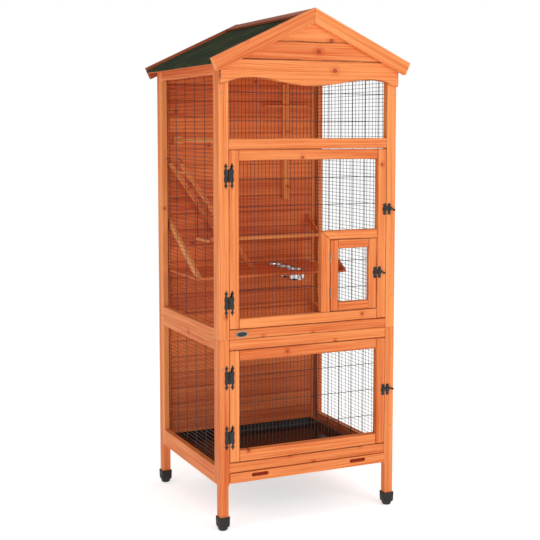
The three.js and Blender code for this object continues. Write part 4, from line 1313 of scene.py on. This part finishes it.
# %% Struts
STRUT_CUT, STRUT_HALF_FOOT = 26.4 * MM, 22 * MM
for side_name, side in SIDES:
    node = f"shelf_strut_{side_name}"
    low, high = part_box(node)
    x = middle_of(low, high, 0)
    start = np.array([x, low.y + STRUT_HALF_FOOT, low.z])
    end = np.array([x, high.y, high.z - STRUT_CUT / 2])
    direction = (end - start) / np.linalg.norm(end - start)
    across = np.cross(direction, AXES[0])
    half = STRUT_CUT / 2 * direction[1]
    cuts = (direction[1] / direction[2], -direction[2] / direction[1])
    shape = plank(node, start, end, across, -half, half, high.x - low.x, mitre=cuts)
    # The right strut takes the darker inside stain, painted shade; the left one keeps the lit stain.
    piece(f"{node}_sawn", shape, "frame", looks["pine" if side < 0 else "inner"], [node])

# %% Ladder
low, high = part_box("ladder")
RAIL_WIDE, RAIL_THICK = 14 * MM, 10 * MM
RUNGS, RUNG_RADIUS, RUNG_IN = 6, 5 * MM, 3 * MM
LADDER_TOP, LADDER_FOOT = np.array([-295.5, 0, 1187]) * MM, np.array([-28, 0, 807.6]) * MM
run = LADDER_FOOT - LADDER_TOP
across = np.cross(run / np.linalg.norm(run), AXES[1])
rail_places = (low.y + RAIL_THICK / 2, high.y - RAIL_THICK / 2)
parts = []
for number, y in enumerate(rail_places):
    start, end = (point + AXES[1] * y for point in (LADDER_TOP, LADDER_FOOT))
    label = f"ladder_rail_{number}"
    parts.append(plank(label, start, end, across, -RAIL_WIDE / 2, RAIL_WIDE / 2, RAIL_THICK))
for number in range(RUNGS):
    at = LADDER_TOP + run * (number + 0.5) / RUNGS
    start, end = at + AXES[1] * (rail_places[0] - RUNG_IN), at + AXES[1] * (rail_places[1] + RUNG_IN)
    parts.append(dowel(f"rung_{number}", start, end, RUNG_RADIUS, 14))
piece("ladder_sawn", joined(parts), "frame", looks["pine"], ["ladder"])

# %% Perches
PERCH_RADIUS, BLOCK_THICK = 6 * MM, 26 * MM
low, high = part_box("perch_side_to_side")
y, z = middle_of(low, high, 1), middle_of(low, high, 2)
rod = dowel("perch_a", (low.x, y, z), (high.x, y, z), PERCH_RADIUS)
piece("perch_side_to_side_rod", rod, "frame", looks["raw"], ["perch_side_to_side"])

ROD_X, ROD_Z = -260 * MM, 1271 * MM
low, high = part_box("perch_front_to_back")
rod = dowel("perch_b", (ROD_X, low.y, ROD_Z), (ROD_X, high.y - MM, ROD_Z), PERCH_RADIUS)
wall_block = board_in_box("perch_block", (low.x, high.y - BLOCK_THICK, low.z), high, 2)
piece("perch_front_to_back_rod", joined([rod, wall_block]), "frame", looks["raw"], ["perch_front_to_back"])

BATTEN_LEFT, BATTEN_RIGHT, BATTEN_THICK = 162 * MM, 186 * MM, 12 * MM
BAR_LEVEL, BAR_RADIUS = 1397 * MM, 5 * MM
PEG_X, PEG_LEVELS, PEG_RADIUS, PEG_IN = 178 * MM, (1094 * MM, 1300 * MM), 4.5 * MM, 5 * MM
low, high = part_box("perch_tree")
batten_low, batten_high = (BATTEN_LEFT, high.y - BATTEN_THICK, low.z), (BATTEN_RIGHT, high.y, high.z)
y = high.y - BATTEN_THICK - MM
parts = [
    board_in_box("tree_batten", batten_low, batten_high, 2),
    dowel("tree_bar", (low.x, y, BAR_LEVEL), (high.x, y, BAR_LEVEL), BAR_RADIUS),
]
for number, z in enumerate(PEG_LEVELS):
    ends = (PEG_X, low.y, z), (PEG_X, high.y - PEG_IN, z)
    parts.append(dowel(f"tree_peg_{number}", *ends, PEG_RADIUS))
piece("perch_tree_sawn", joined(parts), "frame", looks["raw"], ["perch_tree"])


# %% Swing
def bent_wire(path, radius, plane_normal, sides=10):
    """A round wire along a flat path: each ring lies square to the path's own direction."""
    path = np.array(path, float)
    along = np.gradient(path, axis=0)
    along /= np.linalg.norm(along, axis=1, keepdims=True)
    first = np.array(plane_normal, float)
    second = np.cross(along, first)
    angle = np.arange(sides) * FULL_TURN / sides
    ring = np.cos(angle)[None, :, None] * first + np.sin(angle)[None, :, None] * second[:, None]
    points = path[:, None] + radius * ring
    return points.reshape(-1, 3), lidded(len(path), sides), {}


BAIL_WIRE, BAIL_BEND, BAIL_INSET, BAIL_INTO_BAR = 1.5 * MM, 9 * MM, 1.6 * MM, 7 * MM
BAIL_LEG_POINTS = 7
low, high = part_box("swing_bail")
x = middle_of(low, high, 0)
left, right, top = low.y + BAIL_INSET, high.y - BAIL_INSET, high.z - BAIL_INSET
turn = np.linspace(0.0, np.pi / 2, 9)
rise = np.linspace(low.z - BAIL_INTO_BAR, top - BAIL_BEND, BAIL_LEG_POINTS + 1)[:-1]
curve = top - BAIL_BEND + BAIL_BEND * np.sin(turn)
y = np.concatenate([
    np.full(BAIL_LEG_POINTS, left), left + BAIL_BEND - BAIL_BEND * np.cos(turn),
    right - BAIL_BEND + BAIL_BEND * np.sin(turn), np.full(BAIL_LEG_POINTS, right),
])
z = np.concatenate([rise, curve, top - BAIL_BEND + BAIL_BEND * np.cos(turn), rise[::-1]])
path = np.column_stack([np.full(len(y), x), y, z])
piece("swing_bail_bent", bent_wire(path, BAIL_WIRE, AXES[0]), "swing", looks["iron"], ["swing_bail"])
low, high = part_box("swing_bar")
z = middle_of(low, high, 2)
bar = dowel("swing_bar", (x, low.y, z), (x, high.y, z), PERCH_RADIUS)
piece("swing_bar_turned", bar, "swing", looks["raw"], ["swing_bar"])

# %% Ladder hooks
HOOK_WIRE, HOOK_STATIONS = 1.2 * MM, 21
HOOK_LINE = np.array([(33, 1153), (20, 1172), (11, 1190), (5, 1203), (0, 1207), (-3, 1203)]) * MM
mesh_x = middle_of(*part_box("upper_mesh_left"), 0)
rise = np.linspace(0.0, 1.0, HOOK_STATIONS)
steps = np.linspace(0.0, 1.0, len(HOOK_LINE))
x, z = mesh_x + np.interp(rise, steps, HOOK_LINE[:, 0]), np.interp(rise, steps, HOOK_LINE[:, 1])
for number, y in enumerate(rail_places):
    path = np.column_stack([x, np.full(HOOK_STATIONS, y), z])
    piece(f"ladder_hook_{number}", bent_wire(path, HOOK_WIRE, AXES[1]), "frame", looks["iron"])
